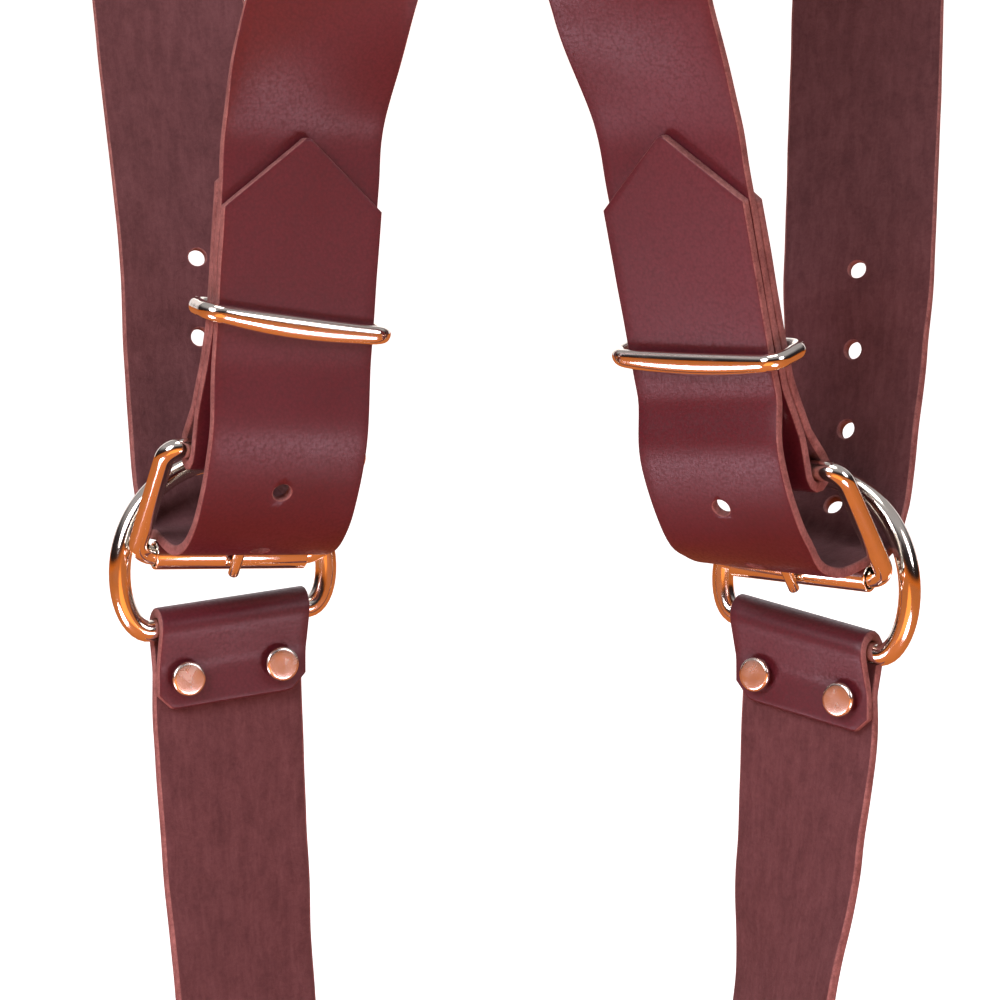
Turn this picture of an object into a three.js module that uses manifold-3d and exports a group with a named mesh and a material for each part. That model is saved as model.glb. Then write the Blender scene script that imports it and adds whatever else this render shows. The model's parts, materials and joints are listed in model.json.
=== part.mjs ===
// Leather harness suspenders: two back straps and two shoulder straps meet at a riveted back yoke.
// On each side a roller buckle joins them, a D-ring hangs in the loop below the buckle, and a lower
// strap hangs from the ring and ends in a snap hook.
// Millimetres, +Z up, +X to the viewer's right, +Y away from the viewer.
// The origin lies midway between the shoulders, where the undersides of the straps rest.
import * as THREE from 'three';
import { mergeVertices } from 'three/addons/utils/BufferGeometryUtils.js';
import Module from 'manifold-3d';

const wasm = await Module();
wasm.setup();

// ---- Driving dimensions ------------------------------------------------------------------------

const gap = 0.3; // clearance between neighbouring pieces
const strapWidth = 36.5;
const strapThickness = 2.4;
const cornerClip = 6; // clipped corners of the folded tabs
const tailPoint = 15.3; // length of the tail's point
const holeDiameter = 4.2;
const holePitch = 19;
const holeShift = 7; // the adjusting holes sit this much nearer the shoulder than whole pitches
const holesTowardsTip = 2; // adjusting holes from the tongue towards the tip
const holesTowardsShoulder = 4;

const loopDrop = 380; // height from the buckle's roller up to the shoulders
const tailDepth = -25; // depth of the tails' front faces, in front of the shoulder tops
const sideSpacing = 87.5; // between the centres of the two tails
const sideShift = -0.55; // both tails hang a little to the left
const shoulderSpacing = 152; // between the centres of the straps on top of the shoulders
const yokeDepth = -53;

const buckleWire = 4.5;
const buckleInnerWidth = strapWidth + 4.5;
const buckleReach = 34; // from the heel bar to the roller bar
const buckleSlope = 24; // how far the roller bar hangs behind the heel bar
const rollerDepth = 44.5; // from the front face of the tail back to the roller bar
const rollerRise = 2.5; // height of the roller bar above the side's own origin
const heelCornerRadius = 3.4;
const rollerCornerRadius = 5;
const rollerWall = 0.75;
const rollerLength = strapWidth - 0.1;
const tongueWire = 2.8;
const tongueHoleDiameter = 5;
const tongueSlotWidth = 4.6;

const keeperWire = 3.2;
const keeperBand = 4.6; // height of the keeper's section along the straps
const keeperInnerWidth = strapWidth + 2;
const keeperInnerDepth = 3 * strapThickness + 2 * gap + 1.6;
const keeperCornerRadius = 3.4;

const ringWire = 5;
const ringInnerWidth = strapWidth + 9.1;
const ringBarHalf = strapWidth / 2 + 1.25; // half of the D-ring's straight bar
const ringShoulder = 11; // height of the D-ring's widest place above its bar
const ringArcHeight = 26; // from the widest place to the top of the arc, at the middle of the wire
const ringPitch = 2; // degrees the arc leans towards the viewer
const ringDepth = 51; // from the front face of the tail back to the D-ring's bar
const ringFall = 12.5; // depth of the D-ring's bar below the side's own origin
const ringHang = 18; // from the D-ring's bar up to the strap that it hangs on

const lowerStrapLength = 152; // from the D-ring's bar to the snap loop's bar
const foldTab = 18.7; // from a bar's centre to the end of the folded tab
const backTab = 68; // the back strap's longer tab
const foldReach = 9.5; // from a bar's centre to where the two layers lie together
const rivetReach = 12; // from a bar's centre to the rivets
const backRivetReach = 14;
const strapSlope = 25; // degrees the strap slopes where it rests on the roller

const rivetCapRadius = 4;
const rivetCapHeight = 1.2;
const rivetPostRadius = 1.5;
const rivetSpacing = 23;

const yokeHeight = 94;
const yokeBottomHalf = strapWidth + 9.5;
const yokeTopHalf = strapWidth + 19.5;
const yokeWaistHalf = strapWidth + 8.5;
const yokeCornerRadius = 7;
const yokeOverlap = 26; // length of each strap end under the yoke
const yokeX = -2.5;
const yokeBottom = -220;

const snapWire = 3.6;
const snapLoopHeight = 13;
const snapCornerRadius = 4;
const bossRadius = 4.6;
const bossHeight = 6.4;
const swivelRadius = 2;
const hookWire = 5;
const hookHalfWidth = 8.5;
const hookDrop = 35; // from the collar to the middle of the wire at the hook's lowest point
const barrelDrop = 5.5; // the bolt's knob rises in this height without meeting the loop
const barrelLength = 6.5;
const boltRadius = 1.6;
const boltTravel = 8;

// Each side hangs in its own pose. Angles are in degrees: yaw turns a side about +Z, lean tips the
// stacked straps towards the viewer, and the rolls tip a bar's right end up. keeperAbove is the keeper's
// height above the heel bar.
const sides = {
  left: {
    sign: -1, yaw: 24, drop: 0, lean: 11, keeperAbove: 27.417, tipReach: 40, buckleRoll: 0, loopRoll: 5,
    ringRoll: 7.5, lowerYaw: 38, lowerLean: 4.3, keeperRoll: -6,
    backGuide: [-35.5, -43, -258], backYaw: 4,
    chest: [[-80.5, 52, -240], [-85, 63, -182], [-88, 65, -118], [-86, 56, -58], [-82, 33, -14]],
  },
  right: {
    sign: 1, yaw: -37, drop: 3.4, lean: 18, keeperAbove: 23.417, tipReach: 49, buckleRoll: -5, loopRoll: -10.5,
    ringRoll: -12.5, lowerYaw: -66, lowerLean: -6.5, keeperRoll: -3.5,
    backGuide: [28, -45, -261], backYaw: -27,
    chest: [[89, 52, -240], [91, 63, -182], [90, 65, -118], [87, 56, -58], [82, 33, -14]],
  },
};

// ---- Finishes ----------------------------------------------------------------------------------

const leather = () => new THREE.MeshStandardMaterial({ color: 0x4a1a22, roughness: 0.5, metalness: 0 });
const nickel = () => new THREE.MeshStandardMaterial({ color: 0xd8cfc0, roughness: 0.2, metalness: 1 });

// ---- Small tools -------------------------------------------------------------------------------

const harness = new THREE.Group();
const vec = (x, y, z) => new THREE.Vector3(x, y, z);
const rad = THREE.MathUtils.degToRad;
const centreOffset = strapThickness + gap; // between the middles of two stacked straps
const halfWidth = strapWidth / 2;

function part(name, geometry, material, matrix) {
  const mesh = new THREE.Mesh(geometry, material);
  mesh.name = name;
  if (matrix) matrix.decompose(mesh.position, mesh.quaternion, mesh.scale);
  harness.add(mesh);
  return mesh;
}

function welded(geometry) {
  const bare = geometry.clone();
  bare.deleteAttribute('normal');
  bare.deleteAttribute('uv');
  return mergeVertices(bare, 1e-4);
}

function solid(geometry) {
  const mesh = welded(geometry);
  return new wasm.Manifold(new wasm.Mesh({
    numProp: 3,
    vertProperties: new Float32Array(mesh.attributes.position.array),
    triVerts: new Uint32Array(mesh.index.array),
  }));
}

function geometryOf(manifold) {
  const mesh = manifold.getMesh();
  const geometry = new THREE.BufferGeometry();
  geometry.setAttribute('position', new THREE.BufferAttribute(new Float32Array(mesh.vertProperties), 3));
  geometry.setIndex(new THREE.BufferAttribute(new Uint32Array(mesh.triVerts), 1));
  geometry.computeVertexNormals();
  return geometry;
}

// A rod from one point to another, for cutting holes and for building up hardware.
function rod(from, to, radius, segments = 12) {
  const axis = to.clone().sub(from);
  const geometry = new THREE.CylinderGeometry(radius, radius, axis.length(), segments);
  const turn = new THREE.Quaternion().setFromUnitVectors(vec(0, 1, 0), axis.clone().normalize());
  geometry.applyQuaternion(turn);
  const middle = from.clone().add(to).multiplyScalar(0.5);
  return geometry.translate(middle.x, middle.y, middle.z);
}

const cut = (geometry, tools) => {
  if (!tools.length) return geometry;
  return geometryOf(tools.reduce((body, tool) => body.subtract(solid(tool)), solid(geometry)));
};

// A closed wire bent along a flat outline, drawn counterclockwise in its own XY plane.
function wireLoop(outline, wire, band = wire, sidesOfWire = 8) {
  const drawn = outline.getPoints(3);
  const points = drawn.filter((point, i) => point.distanceTo(drawn[(i + 1) % drawn.length]) > 0.01);
  const count = points.length;
  const geometry = new THREE.TorusGeometry(1, 0.5, sidesOfWire, count);
  const place = geometry.attributes.position;
  for (let ring = 0; ring <= sidesOfWire; ring++) {
    const turn = (ring / sidesOfWire) * Math.PI * 2;
    for (let i = 0; i <= count; i++) {
      const here = points[i % count];
      const before = points[(i + count - 1) % count];
      const after = points[(i + 1) % count];
      const arriving = here.clone().sub(before).normalize();
      const leaving = after.clone().sub(here).normalize();
      const along = arriving.clone().add(leaving).normalize();
      const outward = (Math.cos(turn) * wire) / 2 / along.dot(leaving);
      place.setXYZ(
        ring * (count + 1) + i,
        here.x + along.y * outward, here.y - along.x * outward, (Math.sin(turn) * band) / 2,
      );
    }
  }
  geometry.computeVertexNormals();
  return geometry;
}

// A rectangle with rounded corners, centred on x = 0 and reaching from y = bottom to y = top.
function roundedRectangle(width, bottom, top, bottomRadius, topRadius) {
  const half = width / 2;
  const outline = new THREE.Path();
  outline.moveTo(-half + bottomRadius, bottom);
  outline.lineTo(half - bottomRadius, bottom);
  outline.absarc(half - bottomRadius, bottom + bottomRadius, bottomRadius, -Math.PI / 2, 0);
  outline.lineTo(half, top - topRadius);
  outline.absarc(half - topRadius, top - topRadius, topRadius, 0, Math.PI / 2);
  outline.lineTo(-half + topRadius, top);
  outline.absarc(-half + topRadius, top - topRadius, topRadius, Math.PI / 2, Math.PI);
  outline.lineTo(-half, bottom + bottomRadius);
  outline.absarc(-half + bottomRadius, bottom + bottomRadius, bottomRadius, Math.PI, Math.PI * 1.5);
  return outline;
}

const basis = (x, y, z, origin) => new THREE.Matrix4().makeBasis(x, y, z).setPosition(origin);

// ---- Strips of leather -------------------------------------------------------------------------
// A station holds a point on the strip's middle, the direction across it, and the way its grain faces.

const station = (point, across, grain) => ({ point, across, grain });

// Stations along a smooth curve through guide points, each with a wished direction across.
// A strip that hangs plumb from a tilted bar isn't square to its own length near the bar.
function curveStations(guides, first, last, square = true) {
  const curve = new THREE.CatmullRomCurve3(guides.map((guide) => guide.point), false, 'centripetal');
  const spans = guides.length - 1;
  const perSpan = 24;
  const stations = [];
  for (let step = first * perSpan; step <= last * perSpan; step++) {
    const t = step / (spans * perSpan);
    const span = Math.min(Math.floor(step / perSpan), spans - 1);
    const share = THREE.MathUtils.smoothstep(step / perSpan - span, 0, 1);
    const along = curve.getTangent(t);
    const wished = guides[span].across.clone().lerp(guides[span + 1].across, share);
    if (square) wished.addScaledVector(along, -wished.dot(along));
    const across = wished.normalize();
    const grain = along.clone().cross(across).normalize();
    stations.push({ ...station(curve.getPoint(t), across, grain), guide: step % perSpan === 0 });
  }
  return stations;
}

// The strip's path around a bar: down one layer, around, and back along the other.
// legs points from the bar to the layers, and side from the bar to the first layer.
function foldStations(centre, across, legs, side, barRadius) {
  const radius = barRadius + gap + strapThickness / 2;
  const offset = centreOffset / 2;
  const distance = Math.hypot(foldReach, offset);
  const tangent = Math.atan2(offset, foldReach) + Math.acos(radius / distance);
  const at = (x, y) => centre.clone().addScaledVector(legs, x).addScaledVector(side, y);
  const way = (angle) => legs.clone().multiplyScalar(Math.cos(angle))
    .addScaledVector(side, Math.sin(angle)).normalize();
  const stations = [station(at(foldReach, offset), across, side.clone())];
  const turns = 14;
  for (let i = 0; i <= turns; i++) {
    const angle = THREE.MathUtils.lerp(tangent, Math.PI * 2 - tangent, i / turns);
    stations.push(station(centre.clone().addScaledVector(way(angle), radius), across, way(angle)));
  }
  stations.push(station(at(foldReach, -offset), across, side.clone().negate()));
  return stations;
}

// The second layer of a fold, lying behind the given stations and running back along them.
function layerBehind(stations) {
  return stations.map(({ point, across, grain }) => (
    station(point.clone().addScaledVector(grain, -centreOffset), across, grain.clone().negate())
  )).reverse();
}

function distances(stations) {
  const out = [0];
  for (let i = 1; i < stations.length; i++) {
    out.push(out[i - 1] + stations[i].point.distanceTo(stations[i - 1].point));
  }
  return out;
}

function stationAt(stations, lengths, distance) {
  let i = 1;
  while (i < lengths.length - 1 && lengths[i] < distance) i++;
  const share = THREE.MathUtils.clamp((distance - lengths[i - 1]) / (lengths[i] - lengths[i - 1]), 0, 1);
  return station(
    stations[i - 1].point.clone().lerp(stations[i].point, share),
    stations[i - 1].across.clone().lerp(stations[i].across, share).normalize(),
    stations[i - 1].grain.clone().lerp(stations[i].grain, share).normalize(),
  );
}

// The part of a station list between two distances.
function stretch(stations, from, to) {
  const lengths = distances(stations);
  const inner = stations.filter((_, i) => lengths[i] > from + 0.05 && lengths[i] < to - 0.05);
  return [stationAt(stations, lengths, from), ...inner, stationAt(stations, lengths, to)];
}

// The strip itself. outline holds [distance, half width] pairs from one end to the other.
function strip(stations, outline) {
  const lengths = distances(stations);
  const total = lengths[lengths.length - 1];
  const breaks = outline.map(([distance]) => distance);
  const chosen = [0];
  let turned = 0;
  let last = 0;
  for (let i = 1; i < stations.length - 1; i++) {
    turned += stations[i].grain.angleTo(stations[i - 1].grain);
    turned += stations[i].across.angleTo(stations[i - 1].across);
    const atGuide = stations[i].guide && lengths[i] - last > 2.5;
    if (atGuide || turned > rad(11) || lengths[i] - last > 16) {
      chosen.push(lengths[i]);
      last = lengths[i];
      turned = 0;
    }
  }
  const spots = [...chosen.filter((spot) => breaks.every((edge) => Math.abs(edge - spot) > 0.6)), ...breaks];
  spots.sort((a, b) => a - b);
  const geometry = new THREE.BoxGeometry(1, 1, 1, 1, 1, spots.length - 1);
  const place = geometry.attributes.position;
  for (let i = 0; i < place.count; i++) {
    const row = Math.round((place.getZ(i) + 0.5) * (spots.length - 1));
    const spot = Math.min(spots[row], total);
    const { point, across, grain } = stationAt(stations, lengths, spot);
    let edge = 1;
    while (edge < outline.length - 1 && outline[edge][0] < spot) edge++;
    const [fromSpot, fromHalf] = outline[edge - 1];
    const [toSpot, toHalf] = outline[edge];
    const half = THREE.MathUtils.mapLinear(spot, fromSpot, toSpot, fromHalf, toHalf);
    point.addScaledVector(across, place.getX(i) * 2 * half);
    point.addScaledVector(grain, place.getY(i) * strapThickness);
    place.setXYZ(i, point.x, point.y, point.z);
  }
  return geometry;
}

const punch = (spot, radius, direction = spot.grain) => rod(
  spot.point.clone().addScaledVector(direction, -strapThickness),
  spot.point.clone().addScaledVector(direction, strapThickness), radius,
);

// ---- Rivets ------------------------------------------------------------------------------------

// A double-cap rivet through layers of leather, set on its post, along the local Z axis.
function rivet(name, centre, direction, grip) {
  const seat = grip / 2 + gap / 2;
  const rim = seat + rivetCapHeight * 0.4;
  const crown = seat + rivetCapHeight;
  const half = [[0, crown], [rivetCapRadius * 0.82, crown], [rivetCapRadius, rim], [rivetCapRadius, seat],
    [rivetPostRadius, seat]];
  const profile = [...half, ...half.map(([r, y]) => [r, -y]).reverse()];
  const geometry = new THREE.LatheGeometry(profile.map(([r, y]) => new THREE.Vector2(r, -y)), 10);
  const turn = new THREE.Quaternion().setFromUnitVectors(vec(0, 1, 0), direction.clone().normalize());
  const matrix = new THREE.Matrix4().compose(centre, turn, vec(1, 1, 1));
  part(name, welded(geometry), nickel(), matrix);
}

// Two rivets side by side through a stack, and the holes they need.
function rivetPair(name, middle, across, direction, grip) {
  return [-1, 1].map((hand, i) => {
    const centre = middle.clone().addScaledVector(across, (hand * rivetSpacing) / 2);
    rivet(`${name}_${i + 1}`, centre, direction, grip);
    const reach = grip / 2 + 2;
    return rod(
      centre.clone().addScaledVector(direction, -reach),
      centre.clone().addScaledVector(direction, reach), rivetPostRadius + gap,
    );
  });
}

const foldGrip = strapThickness * 2 + gap;
const flaredGrip = foldGrip + 2.6; // the layers still part a little beside a bar
const heelGrip = foldGrip + 1.2;

// ---- Back yoke ---------------------------------------------------------------------------------

const yokeMiddle = yokeDepth - centreOffset;

function yokeOutline() {
  const corners = [
    [-yokeBottomHalf, 0], [yokeBottomHalf, 0], [yokeWaistHalf, yokeHeight / 2],
    [yokeTopHalf, yokeHeight], [-yokeTopHalf, yokeHeight], [-yokeWaistHalf, yokeHeight / 2],
  ].map(([x, y]) => new THREE.Vector2(x, y));
  const outline = new THREE.Shape();
  corners.forEach((corner, i) => {
    const before = corners[(i + corners.length - 1) % corners.length];
    const after = corners[(i + 1) % corners.length];
    const enter = corner.clone().lerp(before, yokeCornerRadius / corner.distanceTo(before));
    const leave = corner.clone().lerp(after, yokeCornerRadius / corner.distanceTo(after));
    if (i === 0) outline.moveTo(enter.x, enter.y);
    else outline.lineTo(enter.x, enter.y);
    outline.quadraticCurveTo(corner.x, corner.y, leave.x, leave.y);
  });
  outline.closePath();
  return outline;
}

// Where each strap's middle crosses the yoke's edge, and the way it leaves, in the yoke's plane.
const yokeExits = {
  lower: { x: halfWidth + 4.25, z: 0, way: [0.12, -1] },
  upper: { x: strapWidth - 4, z: yokeHeight, way: [0.32, 1] },
};

function yokeGuides(sign, end) {
  const { x, z, way } = yokeExits[end];
  const edge = vec(yokeX + sign * x, yokeDepth, yokeBottom + z);
  const direction = vec(sign * way[0], 0, way[1]).normalize();
  const across = vec(end === 'lower' ? 1 : -1, 0, 0);
  const at = (distance) => ({ point: edge.clone().addScaledVector(direction, distance), across });
  return [at(-yokeOverlap), at(-yokeOverlap / 2), at(3), at(14)];
}

const yokeHoles = [];

function yokeRivets(name, stations) {
  const spot = stationAt(stations, distances(stations), yokeOverlap / 2);
  const middle = spot.point.clone().addScaledVector(vec(0, -1, 0), centreOffset / 2);
  const holes = rivetPair(name, middle, spot.across, vec(0, -1, 0), foldGrip);
  yokeHoles.push(...holes);
  return holes;
}

// ---- One side of the harness -------------------------------------------------------------------

function buildSide(name, pose) {
  const yaw = rad(pose.yaw);
  const origin = vec((pose.sign * sideSpacing) / 2 + sideShift, tailDepth, -loopDrop - pose.drop);
  const right = vec(Math.cos(yaw), Math.sin(yaw), 0); // across the straps
  const back = vec(-Math.sin(yaw), Math.cos(yaw), 0); // away from the viewer
  const up = vec(0, 0, 1);
  const local = (u, v, w) => origin.clone()
    .addScaledVector(right, u).addScaledVector(back, v).addScaledVector(up, w);
  const rolled = (degrees) => right.clone().multiplyScalar(Math.cos(rad(degrees)))
    .addScaledVector(up, Math.sin(rad(degrees)));

  // The stack of tail, back strap and tab leans towards the viewer.
  const lean = rad(pose.lean);
  const stackUp = back.clone().multiplyScalar(-Math.sin(lean)).addScaledVector(up, Math.cos(lean));
  const stackBack = back.clone().multiplyScalar(Math.cos(lean)).addScaledVector(up, Math.sin(lean));
  const heelRise = rollerRise + Math.sqrt(buckleReach ** 2 - buckleSlope ** 2);
  const tailAtKeeper = local(0, strapThickness / 2, heelRise + pose.keeperAbove);
  const inStack = (layer, distance) => tailAtKeeper.clone()
    .addScaledVector(stackBack, layer * centreOffset).addScaledVector(stackUp, distance);

  // Roller buckle: the frame hangs from the heel bar, with the roller below and behind.
  const barRadius = buckleWire / 2;
  const rollerRadius = barRadius + gap + rollerWall;
  const bar = rolled(pose.buckleRoll);
  const swing = Math.asin(buckleSlope / buckleReach);
  const frameDown = back.clone().multiplyScalar(Math.sin(swing)).addScaledVector(up, -Math.cos(swing));
  frameDown.addScaledVector(bar, -frameDown.dot(bar)).normalize();
  const frameFront = bar.clone().cross(frameDown).negate().normalize();
  if (frameFront.dot(back) > 0) frameFront.negate();
  const roller = local(0, rollerDepth, rollerRise);
  const heel = roller.clone().addScaledVector(frameDown, -buckleReach);
  const halfShift = roller.clone().sub(heel).dot(right) / 2;
  roller.addScaledVector(right, halfShift);
  heel.addScaledVector(right, halfShift);
  const frameMatrix = basis(bar, frameDown.clone().negate(), bar.clone().cross(frameDown).negate(), heel);
  const frameOutline = roundedRectangle(
    buckleInnerWidth + buckleWire, -buckleReach, 0, rollerCornerRadius, heelCornerRadius,
  );
  part(`buckle_frame_${name}`, welded(wireLoop(frameOutline, buckleWire)), nickel(), frameMatrix);

  const bore = barRadius + gap;
  const rollerProfile = [[bore, -0.5], [rollerRadius, -0.5], [rollerRadius, 0.5], [bore, 0.5], [bore, -0.5]];
  const rollerTube = new THREE.LatheGeometry(
    rollerProfile.map(([r, y]) => new THREE.Vector2(r, y * rollerLength)), 16,
  );
  const rollerMatrix = basis(frameDown, bar, frameDown.clone().cross(bar), roller);
  part(`buckle_roller_${name}`, welded(rollerTube), nickel(), rollerMatrix);

  // The tongue's eye goes round the heel bar and its prong rests on the front of the roller.
  const eyeRadius = barRadius + 0.25 + tongueWire / 2;
  const prongSeat = rollerRadius + 0.25 + tongueWire / 2;
  const aroundHeel = (angle) => heel.clone()
    .addScaledVector(frameFront, eyeRadius * Math.cos(angle))
    .addScaledVector(frameDown, eyeRadius * Math.sin(angle));
  const prongAt = (distance) => heel.clone()
    .addScaledVector(frameFront, THREE.MathUtils.lerp(eyeRadius, prongSeat, distance / buckleReach))
    .addScaledVector(frameDown, distance);
  const eye = [75, 120, 165, 210, 255, 305].map((degrees) => aroundHeel(rad(degrees)));
  const tonguePath = new THREE.CatmullRomCurve3(
    [...eye, prongAt(0.5), prongAt(8), prongAt(17), prongAt(buckleReach + 1)], false, 'centripetal',
  );
  const wireSection = new THREE.Shape().absarc(0, 0, tongueWire / 2, 0, Math.PI * 2);
  const tongue = new THREE.ExtrudeGeometry(wireSection, {
    steps: 20, curveSegments: 4, bevelEnabled: false, extrudePath: tonguePath,
  });
  part(`buckle_tongue_${name}`, welded(tongue), nickel());

  // D-ring: the arc lies inside the loop and the flat bar below it.
  const ringBar = rolled(pose.ringRoll);
  const ringLean = rad(ringPitch);
  const ringUp = back.clone().multiplyScalar(-Math.sin(ringLean)).addScaledVector(up, Math.cos(ringLean));
  ringUp.addScaledVector(ringBar, -ringUp.dot(ringBar)).normalize();
  const ringShift = ringHang * Math.sin(rad(pose.ringRoll)); // centres the tilted ring on its strap
  const ringCentre = local(ringShift, ringDepth, -ringFall);
  const ringHalf = (ringInnerWidth + ringWire) / 2;
  const ringOutline = new THREE.Path();
  ringOutline.moveTo(-ringBarHalf, 0);
  ringOutline.lineTo(ringBarHalf, 0);
  ringOutline.absellipse(ringBarHalf, ringShoulder, ringHalf - ringBarHalf, ringShoulder, -Math.PI / 2, 0);
  for (const quarter of [0, 1]) {
    ringOutline.absellipse(
      0, ringShoulder, ringHalf, ringArcHeight, (quarter * Math.PI) / 2, ((quarter + 1) * Math.PI) / 2,
    );
  }
  ringOutline.absellipse(
    -ringBarHalf, ringShoulder, ringHalf - ringBarHalf, ringShoulder, Math.PI, Math.PI * 1.5,
  );
  const ringMatrix = basis(ringBar, ringUp, ringBar.clone().cross(ringUp), ringCentre);
  part(`d_ring_${name}`, welded(wireLoop(ringOutline, ringWire)), nickel(), ringMatrix);

  // Keeper around the stack of three layers.
  const keeperCentre = inStack(1, 0);
  const keeperRoll = rad(pose.keeperRoll);
  const keeperAcross = right.clone().multiplyScalar(Math.cos(keeperRoll))
    .addScaledVector(stackUp, Math.sin(keeperRoll));
  const keeperHalfDepth = (keeperInnerDepth + keeperWire) / 2;
  const keeperOutline = roundedRectangle(
    keeperInnerWidth + keeperWire, -keeperHalfDepth, keeperHalfDepth, keeperCornerRadius, keeperCornerRadius,
  );
  const keeperMatrix = basis(keeperAcross, stackBack, keeperAcross.clone().cross(stackBack), keeperCentre);
  part(`keeper_${name}`, welded(wireLoop(keeperOutline, keeperWire, keeperBand)), nickel(), keeperMatrix);

  // Back strap: yoke, down behind the tail, around the heel bar, and up behind itself as a tab.
  const onMiddle = (point) => point.clone()
    .addScaledVector(bar, -point.clone().sub(origin).dot(right) / bar.dot(right));
  const heelMiddle = onMiddle(heel);
  const legs = inStack(1.8, -6).sub(heelMiddle).normalize();
  const foldFront = bar.clone().cross(legs).normalize();
  if (foldFront.dot(back) > 0) foldFront.negate();
  const heelFold = foldStations(heelMiddle, bar, legs, foldFront, barRadius);
  const onLeg = (distance) => heelMiddle.clone().addScaledVector(legs, distance)
    .addScaledVector(foldFront, centreOffset / 2);
  const guideAcross = vec(Math.cos(rad(pose.backYaw)), Math.sin(rad(pose.backYaw)), 0);
  const backGuides = [
    ...yokeGuides(pose.sign, 'lower'),
    { point: vec(...pose.backGuide), across: guideAcross },
    { point: inStack(1, pose.tipReach + 2), across: right },
    { point: inStack(1, pose.tipReach - 10), across: right },
    { point: inStack(1, 14), across: right },
    { point: inStack(1, 5), across: right },
    { point: inStack(1.1, -2), across: right },
    { point: onLeg(foldReach + 13), across: bar },
    { point: onLeg(foldReach + 5), across: bar },
    { point: onLeg(foldReach), across: bar },
    { point: onLeg(foldReach - 4), across: bar },
  ];
  const backRun = curveStations(backGuides, 0, backGuides.length - 2, false);
  const backLength = distances(backRun).pop();
  const tabRun = layerBehind(stretch(backRun, backLength - (backTab - foldReach), backLength));
  const backStations = [...backRun, ...heelFold.slice(1, -1), ...tabRun];
  const backTotal = distances(backStations).pop();
  const heelHoles = rivetPair(
    `heel_rivet_${name}`, heelMiddle.clone().addScaledVector(legs, backRivetReach),
    bar, foldFront, heelGrip,
  );
  const slotLength = barRadius + gap + strapThickness + 1;
  const tongueSlot = new THREE.BoxGeometry(tongueSlotWidth, slotLength + 9, 4 * slotLength);
  tongueSlot.translate(0, (9 - slotLength) / 2, 0);
  const slotUp = foldFront.clone().cross(bar);
  tongueSlot.applyMatrix4(basis(bar, slotUp, bar.clone().cross(slotUp), heel));
  part(`back_strap_${name}`, cut(strip(backStations, [
    [0, halfWidth], [backTotal - cornerClip, halfWidth], [backTotal, halfWidth - cornerClip],
  ]), [...yokeRivets(`yoke_rivet_lower_${name}`, backStations), ...heelHoles, tongueSlot]), leather());

  // Shoulder strap: yoke, over the shoulder, down, under through ring and buckle, up as the tail.
  const loopAcross = rolled(pose.loopRoll).negate();
  const rollerAcross = bar.clone().negate();
  const tailAcross = right.clone().negate();
  const blend = (share) => tailAcross.clone().lerp(vec(-1, 0, 0), share).normalize();
  const overRoller = rollerRadius + gap + strapThickness / 2;
  const rollerNormal = up.clone().multiplyScalar(Math.cos(rad(strapSlope)))
    .addScaledVector(back, -Math.sin(rad(strapSlope)));
  rollerNormal.addScaledVector(bar, -rollerNormal.dot(bar)).normalize();
  const atRoller = onMiddle(roller).addScaledVector(rollerNormal, overRoller);
  const alongLoop = (v, w, across) => ({ point: local(0, v, w), across });
  const shoulderGuides = [
    ...yokeGuides(pose.sign, 'upper'),
    { point: vec(pose.sign * 52, -49, -74), across: vec(-1, 0, 0) },
    { point: vec(pose.sign * 68, -30, -22), across: vec(-1, 0, 0) },
    { point: vec((pose.sign * shoulderSpacing) / 2, 0, strapThickness / 2), across: vec(-1, 0, 0) },
    ...pose.chest.slice().reverse().map((place, i) => ({
      point: vec(...place), across: i < 4 ? vec(-1, 0, 0) : blend(0.62),
    })),
    alongLoop(68, 72, blend(0.35)),
    alongLoop(66.4, 53, blend(0.12)),
    alongLoop(63.4, 34.5, tailAcross),
    alongLoop(58.2, 18.2, loopAcross),
    alongLoop(51.4, 9.8, loopAcross),
    { point: atRoller, across: rollerAcross },
    alongLoop(37, 5, rollerAcross),
    alongLoop(30, 3.8, rollerAcross),
    alongLoop(22.4, 5.2, rollerAcross),
    alongLoop(16, 9.6, tailAcross),
    alongLoop(11.2, 15.6, tailAcross),
    alongLoop(7.2, 22.6, tailAcross),
    alongLoop(4.5, 30, tailAcross),
    { point: inStack(0, -10), across: tailAcross },
    { point: inStack(0, -5), across: tailAcross },
    { point: inStack(0, 10), across: tailAcross },
    { point: inStack(0, pose.tipReach), across: tailAcross },
  ];
  const shoulderRun = curveStations(shoulderGuides, 0, shoulderGuides.length - 1);
  const shoulderLengths = distances(shoulderRun);
  const shoulderTotal = shoulderLengths[shoulderLengths.length - 1];
  const prongWay = prongAt(buckleReach).sub(prongAt(0)).normalize();
  const prongMiss = ({ point }) => {
    const offset = point.clone().sub(prongAt(0));
    return offset.addScaledVector(prongWay, -offset.dot(prongWay)).length();
  };
  let tongueIndex = shoulderRun.length - 1;
  shoulderRun.forEach((spot, i) => {
    const nearBuckle = spot.point.distanceTo(roller) < buckleReach / 2;
    if (nearBuckle && prongMiss(spot) < prongMiss(shoulderRun[tongueIndex])) tongueIndex = i;
  });
  const tongueSpot = shoulderLengths[tongueIndex];
  const throughTongue = shoulderRun[tongueIndex].point.clone().sub(prongAt(0)).dot(prongWay);
  const tongueHole = { point: prongAt(0).addScaledVector(prongWay, throughTongue) };
  const holes = [punch(tongueHole, tongueHoleDiameter / 2, prongWay)];
  for (let count = -holesTowardsShoulder; count <= holesTowardsTip; count++) {
    const spot = stationAt(shoulderRun, shoulderLengths, tongueSpot + count * holePitch - holeShift);
    if (count !== 0) holes.push(punch(spot, holeDiameter / 2));
  }
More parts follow.
